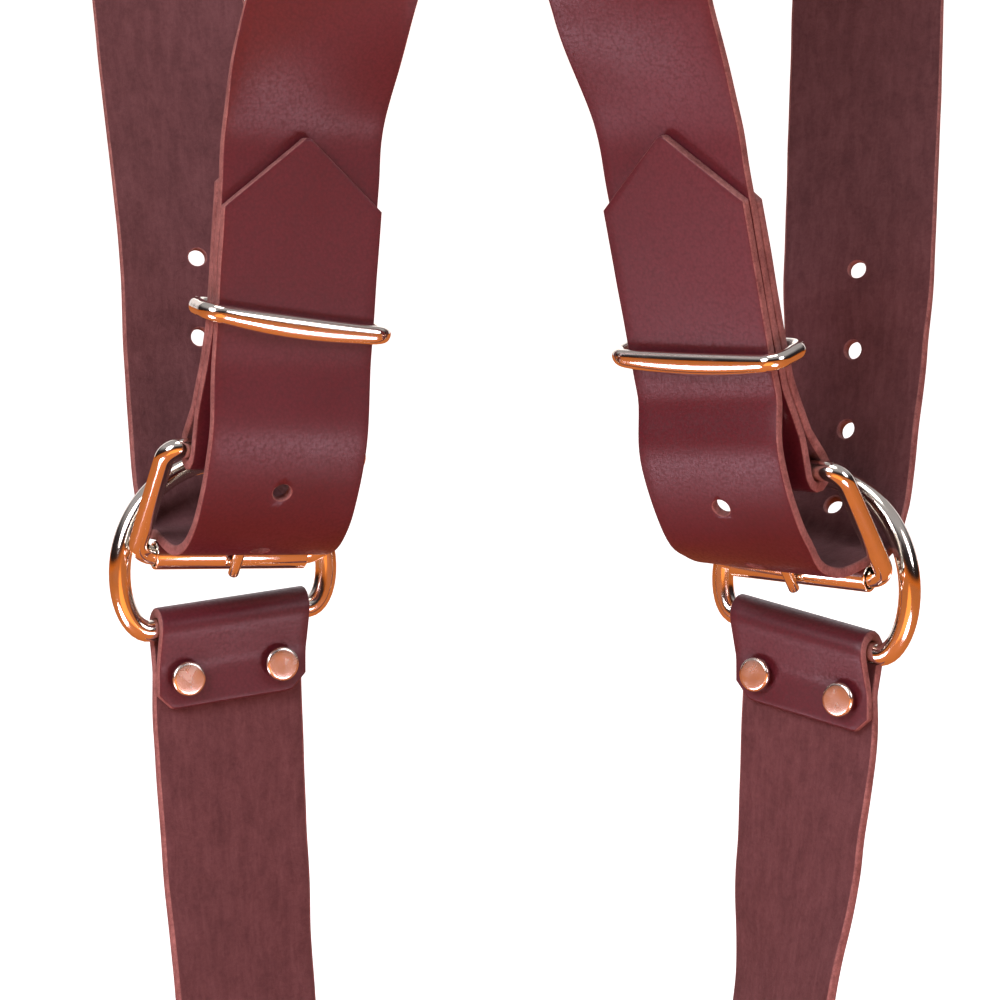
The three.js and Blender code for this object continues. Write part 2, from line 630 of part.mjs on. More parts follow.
  part(`shoulder_strap_${name}`, cut(strip(shoulderRun, [
    [0, halfWidth], [shoulderTotal - tailPoint, halfWidth], [shoulderTotal - 1, 1.8], [shoulderTotal, 0.8],
  ]), [...yokeRivets(`yoke_rivet_upper_${name}`, shoulderRun), ...holes]), leather());

  // Lower strap: tab in front, over the D-ring's bar, down behind, and around the snap loop's bar.
  const lowerAcross = ringBar.clone().negate();
  const legDown = up.clone().negate();
  const tabFront = ringBar.clone().cross(legDown).normalize();
  if (tabFront.dot(back) > 0) tabFront.negate();
  const ringFold = foldStations(ringCentre, lowerAcross, legDown, tabFront, ringWire / 2);
  const lowerYaw = rad(pose.lowerYaw);
  const endAcross = vec(Math.cos(lowerYaw), Math.sin(lowerYaw), 0);
  const sideLean = Math.tan(rad(pose.lowerLean));
  const onLowerLeg = (distance, side) => ringCentre.clone().addScaledVector(legDown, distance)
    .addScaledVector(tabFront, (side * centreOffset) / 2);
  const hangFrom = onLowerLeg(foldTab + 4, -1);
  const hang = (share, drop) => hangFrom.clone()
    .addScaledVector(vec(sideLean, 0, -1), drop).addScaledVector(back, 2 * Math.sin(share * Math.PI));
  const free = lowerStrapLength - foldTab - 4;
  const turned = (share) => right.clone().lerp(endAcross, share).normalize().negate();
  const endDown = vec(sideLean, 0, -1).normalize();
  const endBar = endAcross.clone().addScaledVector(endDown, -endAcross.dot(endDown)).normalize();
  const endFront = endBar.clone().cross(endDown).normalize();
  if (endFront.y > 0) endFront.negate();
  const lowerGuides = [
    { point: onLowerLeg(foldReach - 4, -1), across: lowerAcross },
    { point: onLowerLeg(foldReach, -1), across: lowerAcross },
    { point: onLowerLeg(foldTab, -1), across: lowerAcross },
    { point: hang(0.25, free * 0.22), across: turned(0.3) },
    { point: hang(0.6, free * 0.48), across: turned(0.75) },
    { point: hang(1, free * 0.72), across: endBar.clone().negate() },
    { point: hang(1, free - foldTab + 2), across: endBar.clone().negate() },
    { point: hang(1, free - foldReach), across: endBar.clone().negate() },
    { point: hang(1, free - foldReach + 4), across: endBar.clone().negate() },
  ];
  const lowerRun = curveStations(lowerGuides, 1, lowerGuides.length - 2, false);
  const snapBar = lowerGuides[lowerGuides.length - 2].point.clone()
    .addScaledVector(endFront, centreOffset / 2).addScaledVector(endDown, foldReach);
  const snapFold = foldStations(
    snapBar, endBar.clone().negate(), endDown.clone().negate(), endFront.clone().negate(), snapWire / 2,
  );
  const tabStart = station(onLowerLeg(foldTab, 1), lowerAcross, tabFront.clone());
  const snapTabEnd = station(
    snapBar.clone().addScaledVector(endDown, -foldTab).addScaledVector(endFront, centreOffset / 2),
    endBar.clone().negate(), endFront.clone(),
  );
  const lowerStations = [
    tabStart, ...ringFold.slice(0, -1), ...lowerRun, ...snapFold.slice(1), snapTabEnd,
  ];
  const lowerTotal = distances(lowerStations).pop();
  const clipDepth = cornerClip * 0.6;
  const ringHoles = rivetPair(
    `ring_rivet_${name}`, ringCentre.clone().addScaledVector(legDown, rivetReach),
    ringBar, tabFront, flaredGrip,
  );
  const snapHoles = rivetPair(
    `snap_rivet_${name}`, snapBar.clone().addScaledVector(endDown, -rivetReach),
    endBar, endFront, flaredGrip,
  );
  part(`lower_strap_${name}`, cut(strip(lowerStations, [
    [0, halfWidth - clipDepth], [clipDepth, halfWidth],
    [lowerTotal - clipDepth, halfWidth], [lowerTotal, halfWidth - clipDepth],
  ]), [...ringHoles, ...snapHoles]), leather());

  buildSnap(name, snapBar, endBar, endDown);
}

// ---- Snap hook ---------------------------------------------------------------------------------

function buildSnap(name, barCentre, bar, down) {
  const up = down.clone().negate();
  const matrix = basis(bar, up, bar.clone().cross(up), barCentre);
  const loopOutline = roundedRectangle(
    strapWidth + 2 * gap + 2 * snapCornerRadius, -snapLoopHeight, 0, snapCornerRadius, snapCornerRadius,
  );
  const bossTop = -snapLoopHeight + bossHeight / 2;
  const bossBottom = bossTop - bossHeight;
  const boss = rod(vec(0, bossTop, 0), vec(0, bossBottom, 0), bossRadius, 16);
  const swivelBore = rod(vec(0, bossTop + 1, 0), vec(0, bossBottom - 1, 0), swivelRadius + gap, 16);
  const loop = solid(wireLoop(loopOutline, snapWire)).add(solid(boss)).subtract(solid(swivelBore));
  part(`snap_loop_${name}`, geometryOf(loop), nickel(), matrix);

  // Swivel hook: headed post through the boss, collar, and a hook whose mouth the bolt closes.
  const headSeat = bossTop + gap;
  const collarTop = bossBottom - gap;
  const collarBottom = collarTop - 4;
  const postProfile = [[0, headSeat + 1.4], [3.4, headSeat + 1.4], [3.4, headSeat], [swivelRadius, headSeat],
    [swivelRadius, collarTop], [4.2, collarTop], [4.2, collarBottom], [0, collarBottom]];
  const post = new THREE.LatheGeometry(
    postProfile.map(([r, y]) => new THREE.Vector2(r, y)).reverse(), 16,
  );
  const barrelTop = collarBottom - barrelDrop;
  const mouthTop = barrelTop - barrelLength;
  const barrelMiddle = (barrelTop + mouthTop) / 2;
  const tipLevel = mouthTop - boltTravel;
  const bottom = collarBottom - hookDrop;
  const arcCentre = bottom + hookHalfWidth;
  const hookArc = [0, 1, 2, 3, 4, 5, 6].map((i) => {
    const angle = Math.PI + (i * Math.PI) / 6;
    return vec(hookHalfWidth * Math.cos(angle), arcCentre + hookHalfWidth * Math.sin(angle), 0);
  });
  const hookPath = new THREE.CatmullRomCurve3([
    vec(0, barrelMiddle, 0), vec(-hookHalfWidth * 0.6, barrelMiddle - 0.5, 0),
    vec(-hookHalfWidth * 0.96, barrelMiddle - 4, 0), ...hookArc, vec(hookHalfWidth, tipLevel, 0),
  ], false, 'centripetal');
  const hookSection = new THREE.Shape().absarc(0, 0, hookWire / 2, 0, Math.PI * 2);
  const hook = new THREE.ExtrudeGeometry(hookSection, {
    steps: 22, curveSegments: 5, bevelEnabled: false, extrudePath: hookPath,
  });
  const neck = rod(vec(0, collarBottom + 1, 0), vec(0, barrelMiddle, 0), hookWire / 2);
  const crossbar = rod(vec(0, barrelMiddle, 0), vec(hookHalfWidth, barrelMiddle, 0), hookWire / 2 - 0.2);
  const barrelRadius = boltRadius + gap + 1.4;
  const barrel = rod(vec(hookHalfWidth, barrelTop, 0), vec(hookHalfWidth, mouthTop, 0), barrelRadius, 16);
  const boltBore = rod(
    vec(hookHalfWidth, barrelTop + 1, 0), vec(hookHalfWidth, mouthTop - 1, 0), boltRadius + gap, 16,
  );
  const hookBody = [hook, neck, crossbar, barrel]
    .reduce((body, piece) => body.add(solid(piece)), solid(post)).subtract(solid(boltBore));
  part(`snap_hook_${name}`, geometryOf(hookBody), nickel(), matrix);

  const knobSeat = barrelTop + gap;
  const boltProfile = [[0, tipLevel + gap], [boltRadius, tipLevel + gap], [boltRadius, knobSeat],
    [2.6, knobSeat], [2.9, knobSeat + 0.8], [2.6, knobSeat + 2.4], [0, knobSeat + 2.4]];
  const bolt = new THREE.LatheGeometry(boltProfile.map(([r, y]) => new THREE.Vector2(r, y)), 14);
  bolt.translate(hookHalfWidth, 0, 0);
  part(`snap_bolt_${name}`, welded(bolt), nickel(), matrix);
}

// ---- Assembly ----------------------------------------------------------------------------------

for (const [name, pose] of Object.entries(sides)) buildSide(name, pose);

const yoke = new THREE.ExtrudeGeometry(yokeOutline(), {
  depth: strapThickness, bevelEnabled: false, curveSegments: 4,
});
yoke.rotateX(Math.PI / 2);
yoke.translate(yokeX, yokeMiddle + strapThickness / 2, yokeBottom);
part('back_yoke', cut(yoke, yokeHoles), leather());

export default harness;
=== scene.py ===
import json
import math
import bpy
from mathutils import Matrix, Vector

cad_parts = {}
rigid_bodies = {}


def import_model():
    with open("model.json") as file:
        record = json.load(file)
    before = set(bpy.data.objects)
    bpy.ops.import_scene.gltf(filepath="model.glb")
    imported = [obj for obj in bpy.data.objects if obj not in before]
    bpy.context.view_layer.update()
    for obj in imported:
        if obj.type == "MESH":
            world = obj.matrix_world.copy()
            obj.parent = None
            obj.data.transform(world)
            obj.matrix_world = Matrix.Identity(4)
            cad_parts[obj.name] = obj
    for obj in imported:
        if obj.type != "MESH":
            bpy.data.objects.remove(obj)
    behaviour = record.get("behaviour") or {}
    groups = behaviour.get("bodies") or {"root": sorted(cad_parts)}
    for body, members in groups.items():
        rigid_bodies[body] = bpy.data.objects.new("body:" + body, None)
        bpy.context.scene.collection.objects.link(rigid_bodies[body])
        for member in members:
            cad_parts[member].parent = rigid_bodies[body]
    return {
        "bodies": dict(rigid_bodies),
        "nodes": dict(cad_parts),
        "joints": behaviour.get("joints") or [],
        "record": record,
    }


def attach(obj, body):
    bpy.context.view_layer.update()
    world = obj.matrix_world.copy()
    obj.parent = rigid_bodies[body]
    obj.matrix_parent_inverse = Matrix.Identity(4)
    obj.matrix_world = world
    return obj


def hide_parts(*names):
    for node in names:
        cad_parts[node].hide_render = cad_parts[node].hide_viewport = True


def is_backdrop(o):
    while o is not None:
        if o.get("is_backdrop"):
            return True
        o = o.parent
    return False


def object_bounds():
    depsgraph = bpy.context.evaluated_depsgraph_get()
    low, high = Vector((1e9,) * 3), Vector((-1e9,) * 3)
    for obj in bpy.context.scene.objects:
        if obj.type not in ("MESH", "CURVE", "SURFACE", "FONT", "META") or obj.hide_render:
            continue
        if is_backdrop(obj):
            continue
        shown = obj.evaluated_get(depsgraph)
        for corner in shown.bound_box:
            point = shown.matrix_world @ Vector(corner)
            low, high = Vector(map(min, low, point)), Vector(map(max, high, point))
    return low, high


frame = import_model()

from types import SimpleNamespace

import bpy
from mathutils import Matrix, Vector, noise

bl_info = {
    "name": "Leather Harness Suspenders",
    "version": (1, 0, 0),
    "blender": (4, 5, 0),
    "location": "View3D > Sidebar > Harness",
    "description": "Models the straps, buckles, rings and snaps of a pair of harness suspenders",
    "category": "Object",
}

# Lengths in the layout are millimetres, and a mesh is scaled to metres when it is placed.
MM = 0.001
CAD_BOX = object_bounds()
HANDS = ("left", "right")
GRAIN, FLESH, EDGE = 0, 1, 2

# The leather sinks in round each rivet, and its cut edges wander a little.
DIMPLE_DEPTH, DIMPLE_RADIUS, DIMPLE_REACH = 0.34, 5.2, 14
EDGE_WANDER, WANDER_PITCH = 0.14, 0.09
SMOOTH_ANGLE = 50  # sharpest fold of the leather that is shaded smooth, in degrees

# How each side hangs, in degrees and millimetres.
POSES = {
    "left": dict(
        sign=-1, yaw=24, drop=0, lean=11, keeper_above=27.417, tip_reach=40, buckle_roll=0, loop_roll=5,
        ring_roll=7.5, lower_yaw=38, lower_lean=4.3, keeper_roll=-6,
        back_guide=(-35.5, -43, -258), back_yaw=4,
        chest=((-80.5, 52, -240), (-85, 63, -182), (-88, 65, -118), (-86, 56, -58), (-82, 33, -14)),
    ),
    "right": dict(
        sign=1, yaw=-37, drop=3.4, lean=18, keeper_above=23.417, tip_reach=49, buckle_roll=-5,
        loop_roll=-10.5, ring_roll=-12.5, lower_yaw=-66, lower_lean=-6.5, keeper_roll=-3.5,
        back_guide=(28, -45, -261), back_yaw=-27,
        chest=((89, 52, -240), (91, 63, -182), (90, 65, -118), (87, 56, -58), (82, 33, -14)),
    ),
}


# ---- Sizes and finishes a user can change -----------------------------------------------------


def length(name, description, default):
    return bpy.props.FloatProperty(
        name=name, description=description, default=default, min=0, unit="LENGTH", precision=5
    )


def shade(name, description, default):
    return bpy.props.FloatVectorProperty(
        name=name, description=description, default=default, min=0, max=1, size=3, subtype="COLOR"
    )


class HarnessStrapSizes(bpy.types.PropertyGroup):
    strap_width: length("Strap width", "Width of every strap", 0.0365)
    strap_thickness: length("Strap thickness", "Thickness of the leather", 0.0024)
    edge_round: length("Edge rounding", "How far the cut edges are rounded over", 0.0005)
    corner_clip: length("Corner clip", "Clipped corners of the folded tabs", 0.006)
    tail_point: length("Tail point", "Length of the pointed end", 0.0153)
    hole_diameter: length("Hole diameter", "Adjusting holes", 0.0042)
    tongue_hole: length("Tongue hole diameter", "The hole that the tongue sits in", 0.005)
    hole_pitch: length("Hole pitch", "Distance between adjusting holes", 0.019)
    back_tab: length("Back tab", "Length of the back strap's folded tab", 0.068)
    fold_tab: length("Fold tab", "Length of the lower strap's folded tabs", 0.0187)
    lower_length: length("Lower strap", "From the D-ring's bar to the snap loop's bar", 0.152)
    yoke_height: length("Yoke height", "Height of the back yoke", 0.094)


class HarnessHardwareSizes(bpy.types.PropertyGroup):
    buckle_wire: length("Buckle wire", "Wire of the buckle frame", 0.0045)
    buckle_width: length("Buckle width", "Inside width of the buckle frame", 0.041)
    buckle_reach: length("Buckle reach", "From the heel bar to the roller bar", 0.034)
    roller_length: length("Roller length", "Length of the roller tube", 0.0364)
    tongue_wire: length("Tongue wire", "Wire of the buckle tongue", 0.0028)
    keeper_wire: length("Keeper wire", "Thickness of the keeper", 0.0032)
    keeper_band: length("Keeper band", "Height of the keeper along the straps", 0.0046)
    ring_wire: length("Ring wire", "Wire of the D-ring", 0.005)
    ring_width: length("Ring width", "Inside width of the D-ring", 0.0456)
    snap_wire: length("Snap loop wire", "Wire of the snap loop", 0.0036)
    hook_wire: length("Hook wire", "Wire of the snap hook", 0.005)
    rivet_radius: length("Rivet radius", "Radius of a rivet cap", 0.004)
    rivet_height: length("Rivet height", "Height of a rivet cap", 0.0012)
    rivet_spacing: length("Rivet spacing", "Between the two rivets of a pair", 0.023)


class HarnessFinishes(bpy.types.PropertyGroup):
    grain_deep: shade("Grain, deep", "Darker dye of the grain side", (0.056, 0.0042, 0.0088))
    grain_light: shade("Grain, light", "Lighter dye of the grain side", (0.1, 0.0085, 0.0175))
    flesh_deep: shade("Flesh, deep", "Darker fibres of the flesh side", (0.075, 0.026, 0.028))
    flesh_light: shade("Flesh, light", "Lighter fibres of the flesh side", (0.15, 0.062, 0.066))
    edge_deep: shade("Edge, deep", "Dyed parts of the cut edges", (0.11, 0.032, 0.032))
    edge_light: shade("Edge, light", "Raw fibres of the cut edges", (0.36, 0.165, 0.145))
    nickel: shade("Nickel", "Polished hardware", (0.88, 0.83, 0.74))
    smudge: shade("Nickel, dull", "Handled places of the hardware", (0.66, 0.56, 0.45))
    pebble_size: length("Pebble size", "Width of one pebble of the grain", 0.0007)


class HarnessStage(bpy.types.PropertyGroup):
    backdrop: shade("Backdrop", "Floor and wall", (0.93, 0.93, 0.93))
    lens: bpy.props.FloatProperty(
        name="Lens", description="Focal length in millimetres", default=115.7, min=20, max=300
    )
    distance: length("Camera distance", "From the camera to the shoulder line", 0.725)
    eye_height: bpy.props.FloatProperty(
        name="Eye height", description="Height of the camera", default=-0.3649, unit="LENGTH"
    )


def in_millimetres(group):
    """The sizes of a property group as plain numbers in millimetres."""
    names = group.__annotations__
    return {name: getattr(group, name) / MM for name in names}


def sizes():
    scene = bpy.context.scene
    return SimpleNamespace(
        **in_millimetres(scene.harness_straps), **in_millimetres(scene.harness_hardware)
    )


# ---- Curves and stations ------------------------------------------------------------------------
# A station is a point on a strap's middle, the direction across it, and the way its grain faces.


def vec(x, y, z):
    return Vector((x, y, z))


def turned(degrees):
    return math.cos(math.radians(degrees)), math.sin(math.radians(degrees))


def smooth_share(x):
    x = min(max(x, 0), 1)
    return x * x * (3 - 2 * x)


def curve_point(points, t):
    """The point at t, from 0 to 1, of a centripetal curve through the points."""
    place = (len(points) - 1) * t
    span = min(int(place), len(points) - 2)
    share = place - span
    p1, p2 = points[span], points[span + 1]
    p0 = points[span - 1] if span > 0 else p1 * 2 - p2
    p3 = points[span + 2] if span + 2 < len(points) else p2 * 2 - p1
    d0, d1, d2 = (math.sqrt((b - a).length) for a, b in ((p0, p1), (p1, p2), (p2, p3)))
    leave = ((p1 - p0) / d0 - (p2 - p0) / (d0 + d1) + (p2 - p1) / d1) * d1
    arrive = ((p2 - p1) / d1 - (p3 - p1) / (d1 + d2) + (p3 - p2) / d2) * d1
    square = (p2 - p1) * 3 - leave * 2 - arrive
    cube = (p1 - p2) * 2 + leave + arrive
    return p1 + leave * share + square * share**2 + cube * share**3


def curve_points(points, steps):
    return [curve_point(points, i / steps) for i in range(steps + 1)]


def curve_way(points, t):
    step = 0.0004
    ahead = curve_point(points, min(t + step, 1))
    return (ahead - curve_point(points, max(t - step, 0))).normalized()


def curve_stations(guides, first, last, square=True):
    """Stations along a curve through guides, each a point with a wished direction across."""
    points = [point for point, _ in guides]
    spans = len(guides) - 1
    per_span = 24
    out = []
    for step in range(first * per_span, last * per_span + 1):
        t = step / (spans * per_span)
        span = min(step // per_span, spans - 1)
        along = curve_way(points, t)
        share = smooth_share(step / per_span - span)
        across = guides[span][1].lerp(guides[span + 1][1], share)
        if square:
            across = across - along * across.dot(along)
        across.normalize()
        out.append((curve_point(points, t), across, along.cross(across).normalized()))
    return out


def fold_stations(centre, across, legs, side, bar_radius, fold_reach, offset, seat):
    """The path around a bar: down one layer, around, and back along the other."""
    radius = bar_radius + seat
    distance = math.hypot(fold_reach, offset)
    tangent = math.atan2(offset, fold_reach) + math.acos(radius / distance)
    out = [(centre + legs * fold_reach + side * offset, across, side.copy())]
    turns = 24
    for i in range(turns + 1):
        angle = tangent + (2 * math.pi - 2 * tangent) * i / turns
        way = legs * math.cos(angle) + side * math.sin(angle)
        out.append((centre + way * radius, across, way.normalized()))
    out.append((centre + legs * fold_reach - side * offset, across, -side))
    return out


def layer_behind(stations, offset):
    return [(point - grain * offset, across, -grain) for point, across, grain in reversed(stations)]


def distances(stations):
    out = [0.0]
    for before, here in zip(stations, stations[1:]):
        out.append(out[-1] + (here[0] - before[0]).length)
    return out


def station_at(stations, lengths, distance):
    low, high = 1, len(lengths) - 1
    while low < high:
        middle = (low + high) // 2
        if lengths[middle] < distance:
            low = middle + 1
        else:
            high = middle
    span = lengths[low] - lengths[low - 1]
    share = min(max((distance - lengths[low - 1]) / span, 0), 1) if span > 0 else 0
    before, here = stations[low - 1], stations[low]
    return (
        before[0].lerp(here[0], share),
        before[1].lerp(here[1], share).normalized(),
        before[2].lerp(here[2], share).normalized(),
    )


def stretch(stations, start, stop):
    lengths = distances(stations)
    inner = [s for s, d in zip(stations, lengths) if start + 0.05 < d < stop - 0.05]
    return [station_at(stations, lengths, start), *inner, station_at(stations, lengths, stop)]


def placed(x, y, z, origin):
    """The matrix of a piece drawn in its own axes, in millimetres."""
    matrix = Matrix.Identity(4)
    for column, axis in enumerate((x, y, z, origin)):
        for row in range(3):
            matrix[row][column] = axis[row]
    return matrix


# ---- Layout of the harness ----------------------------------------------------------------------


class Layout:
    """Where every piece of one side lies, in millimetres."""

    gap = 0.3
    loop_drop = 380
    tail_depth = -25
    side_spacing = 87.5
    side_shift = -0.55
    shoulder_spacing = 152
    yoke_depth = -53
    yoke_x = -2.5
    yoke_bottom = -220
    yoke_overlap = 26
    buckle_slope = 24
    roller_depth = 44.5
    roller_rise = 2.5
    roller_wall = 0.75
    keeper_depth = 9.4
    keeper_width = 38.5
    ring_bar_half = 19.5
    ring_shoulder = 11
    ring_arc = 26
    ring_pitch = 2
    ring_depth = 51
    ring_fall = 12.5
    ring_hang = 18
    fold_reach = 9.5
    rivet_reach = 12
    back_rivet_reach = 14
    strap_slope = 25
    hole_shift = 7

    def __init__(self, hand):
        self.pose = SimpleNamespace(**POSES[hand])
        self.s = sizes()
        self.offset = self.s.strap_thickness + self.gap
        self.half = self.s.strap_width / 2
        self.grip = self.s.strap_thickness * 2 + self.gap
        self.stack()
        self.buckle()
        self.ring()
        self.back_strap()
        self.shoulder_strap()
        self.lower_strap()

    def local(self, u, v, w):
        return self.origin + self.right * u + self.back * v + self.up * w

    def rolled(self, degrees):
        c, s = turned(degrees)
        return self.right * c + self.up * s

    def in_stack(self, layer, distance):
        return self.tail_at_keeper + self.stack_back * layer * self.offset + self.stack_up * distance

    def fold(self, centre, across, legs, side, bar_radius):
        seat = self.gap + self.s.strap_thickness / 2
        return fold_stations(
            centre, across, legs, side, bar_radius, self.fold_reach, self.offset / 2, seat
        )

    def stack(self):
        pose = self.pose
        c, s = turned(pose.yaw)
        self.origin = vec(
            pose.sign * self.side_spacing / 2 + self.side_shift,
            self.tail_depth,
            -self.loop_drop - pose.drop,
        )
        self.right, self.back, self.up = vec(c, s, 0), vec(-s, c, 0), vec(0, 0, 1)
        c, s = turned(pose.lean)
        self.stack_up = self.back * -s + self.up * c
        self.stack_back = self.back * c + self.up * s
        heel_rise = self.roller_rise + math.sqrt(self.s.buckle_reach**2 - self.buckle_slope**2)
        self.tail_at_keeper = self.local(0, self.s.strap_thickness / 2, heel_rise + pose.keeper_above)
        c, s = turned(pose.keeper_roll)
        across = self.right * c + self.stack_up * s
        self.keeper_matrix = placed(
            across, self.stack_back, across.cross(self.stack_back), self.in_stack(1, 0)
        )

    def buckle(self):
        s, back, up = self.s, self.back, self.up
        self.bar_radius = s.buckle_wire / 2
        self.roller_radius = self.bar_radius + self.gap + self.roller_wall
        bar = self.bar = self.rolled(self.pose.buckle_roll)
        swing = math.asin(self.buckle_slope / s.buckle_reach)
        down = back * math.sin(swing) - up * math.cos(swing)
        down = (down - bar * down.dot(bar)).normalized()
        front = -bar.cross(down).normalized()
        if front.dot(back) > 0:
            front.negate()
        roller = self.local(0, self.roller_depth, self.roller_rise)
        heel = roller - down * s.buckle_reach
        shift = (roller - heel).dot(self.right) / 2
        self.roller, self.heel = roller + self.right * shift, heel + self.right * shift
        self.frame_down, self.frame_front = down, front
        self.frame_matrix = placed(bar, -down, -bar.cross(down), self.heel)
        self.roller_matrix = placed(down, down.cross(bar), -bar, self.roller)
        self.eye_radius = self.bar_radius + 0.25 + s.tongue_wire / 2
        self.prong_seat = self.roller_radius + 0.25 + s.tongue_wire / 2
        eye = [
            self.heel + front * self.eye_radius * turned(a)[0] + down * self.eye_radius * turned(a)[1]
            for a in (75, 120, 165, 210, 255, 305)
        ]
        self.tongue_path = [
            *eye, *(self.prong_at(d) for d in (0.5, 8, 17, s.buckle_reach + 1))
        ]

    def prong_at(self, distance):
        share = distance / self.s.buckle_reach
        rise = self.eye_radius + (self.prong_seat - self.eye_radius) * share
        return self.heel + self.frame_front * rise + self.frame_down * distance

    def ring(self):
        bar = self.ring_bar = self.rolled(self.pose.ring_roll)
        c, s = turned(self.ring_pitch)
        up = self.back * -s + self.up * c
        up = (up - bar * up.dot(bar)).normalized()
        shift = self.ring_hang * turned(self.pose.ring_roll)[1]
        self.ring_centre = self.local(shift, self.ring_depth, -self.ring_fall)
        self.ring_matrix = placed(bar, up, bar.cross(up), self.ring_centre)

    def yoke_guides(self, end):
        sign = self.pose.sign
        x, z, way = {
            "lower": (self.half + 4.25, 0, (0.12, -1)),
            "upper": (self.s.strap_width - 4, self.s.yoke_height, (0.32, 1)),
        }[end]
        edge = vec(self.yoke_x + sign * x, self.yoke_depth, self.yoke_bottom + z)
        direction = vec(sign * way[0], 0, way[1]).normalized()
        across = vec(1 if end == "lower" else -1, 0, 0)
        return [(edge + direction * d, across) for d in (-self.yoke_overlap, -self.yoke_overlap / 2, 3, 14)]

    def rivet_pair(self, middle, across, direction, grip):
        reach = self.s.rivet_spacing / 2
        return [(middle + across * hand * reach, direction, grip) for hand in (-1, 1)]

    def yoke_rivets(self, stations):
        point, across, _ = station_at(stations, distances(stations), self.yoke_overlap / 2)
        outward = vec(0, -1, 0)
        return self.rivet_pair(point + outward * self.offset / 2, across, outward, self.grip)

    def on_middle(self, point):
        return point - self.bar * ((point - self.origin).dot(self.right) / self.bar.dot(self.right))

    def back_strap(self):
        pose, s, bar = self.pose, self.s, self.bar
        middle = self.on_middle(self.heel)
        legs = (self.in_stack(1.8, -6) - middle).normalized()
        front = bar.cross(legs).normalized()
        if front.dot(self.back) > 0:
            front.negate()
        fold = self.fold(middle, bar, legs, front, self.bar_radius)

        def on_leg(distance):
            return middle + legs * distance + front * self.offset / 2

        c, sine = turned(pose.back_yaw)
        guides = [
            *self.yoke_guides("lower"),
            (vec(*pose.back_guide), vec(c, sine, 0)),
            (self.in_stack(1, pose.tip_reach + 2), self.right),
            (self.in_stack(1, pose.tip_reach - 10), self.right),
            (self.in_stack(1, 14), self.right),
            (self.in_stack(1, 5), self.right),
            (self.in_stack(1.1, -2), self.right),
            *((on_leg(self.fold_reach + d), bar) for d in (13, 5, 0, -4)),
        ]
        run = curve_stations(guides, 0, len(guides) - 2, square=False)
        run_length = distances(run)[-1]
        tab = layer_behind(stretch(run, run_length - (s.back_tab - self.fold_reach), run_length), self.offset)
        self.back_stations = [*run, *fold[1:-1], *tab]
        self.back_total = distances(self.back_stations)[-1]
        self.heel_rivets = self.rivet_pair(middle + legs * self.back_rivet_reach, bar, front, self.grip + 1.2)
        self.lower_yoke_rivets = self.yoke_rivets(self.back_stations)
        self.slot_axes = placed(bar, front.cross(bar), bar.cross(front.cross(bar)), self.heel)

    def shoulder_strap(self):
        pose, s, bar = self.pose, self.s, self.bar
        loop_across, roller_across, tail_across = -self.rolled(pose.loop_roll), -bar, -self.right
        level = vec(-1, 0, 0)

        def mixed(share):
            return tail_across.lerp(level, share).normalized()

        over_roller = self.roller_radius + self.gap + s.strap_thickness / 2
        c, sine = turned(self.strap_slope)
        normal = self.up * c - self.back * sine
        normal = (normal - bar * normal.dot(bar)).normalized()
        chest = [vec(*place) for place in reversed(pose.chest)]
        guides = [
            *self.yoke_guides("upper"),
            (vec(pose.sign * 52, -49, -74), level),
            (vec(pose.sign * 68, -30, -22), level),
            (vec(pose.sign * self.shoulder_spacing / 2, 0, s.strap_thickness / 2), level),
            *((place, level if i < 4 else mixed(0.62)) for i, place in enumerate(chest)),
            (self.local(0, 68, 72), mixed(0.35)),
            (self.local(0, 66.4, 53), mixed(0.12)),
            (self.local(0, 63.4, 34.5), tail_across),
            (self.local(0, 58.2, 18.2), loop_across),
            (self.local(0, 51.4, 9.8), loop_across),
            (self.on_middle(self.roller) + normal * over_roller, roller_across),
            *((self.local(0, v, w), roller_across) for v, w in ((37, 5), (30, 3.8), (22.4, 5.2))),
            *(
                (self.local(0, v, w), tail_across)
                for v, w in ((16, 9.6), (11.2, 15.6), (7.2, 22.6), (4.5, 30))
            ),
            *((self.in_stack(0, d), tail_across) for d in (-10, -5, 10, pose.tip_reach)),
        ]
        run = curve_stations(guides, 0, len(guides) - 1)
        lengths = distances(run)
        way = (self.prong_at(s.buckle_reach) - self.prong_at(0)).normalized()

        def miss(spot):
            offset = spot[0] - self.prong_at(0)
            return (offset - way * offset.dot(way)).length

        near = [i for i, spot in enumerate(run) if (spot[0] - self.roller).length < s.buckle_reach / 2]
        index = min(near, key=lambda i: miss(run[i]))
        through = (run[index][0] - self.prong_at(0)).dot(way)
        self.shoulder_stations = run
        self.shoulder_total = lengths[-1]
        self.tongue_hole = (self.prong_at(0) + way * through, way)
        self.holes = [
            station_at(run, lengths, lengths[index] + count * s.hole_pitch - self.hole_shift)
            for count in (-4, -3, -2, -1, 1, 2)
        ]
        self.upper_yoke_rivets = self.yoke_rivets(run)

    def lower_strap(self):
        pose, s, bar = self.pose, self.s, self.ring_bar
        across, down = -bar, -self.up
        front = bar.cross(down).normalized()
        if front.dot(self.back) > 0:
            front.negate()
        fold = self.fold(self.ring_centre, across, down, front, s.ring_wire / 2)
        c, sine = turned(pose.lower_yaw)
        end_across = vec(c, sine, 0)
        side_lean = math.tan(math.radians(pose.lower_lean))

        def on_leg(distance, side):
            return self.ring_centre + down * distance + front * side * self.offset / 2

        start = on_leg(s.fold_tab + 4, -1)

        def hang(share, drop):
            return start + vec(side_lean, 0, -1) * drop + self.back * 2 * math.sin(share * math.pi)

        def turning(share):
            return -self.right.lerp(end_across, share).normalized()

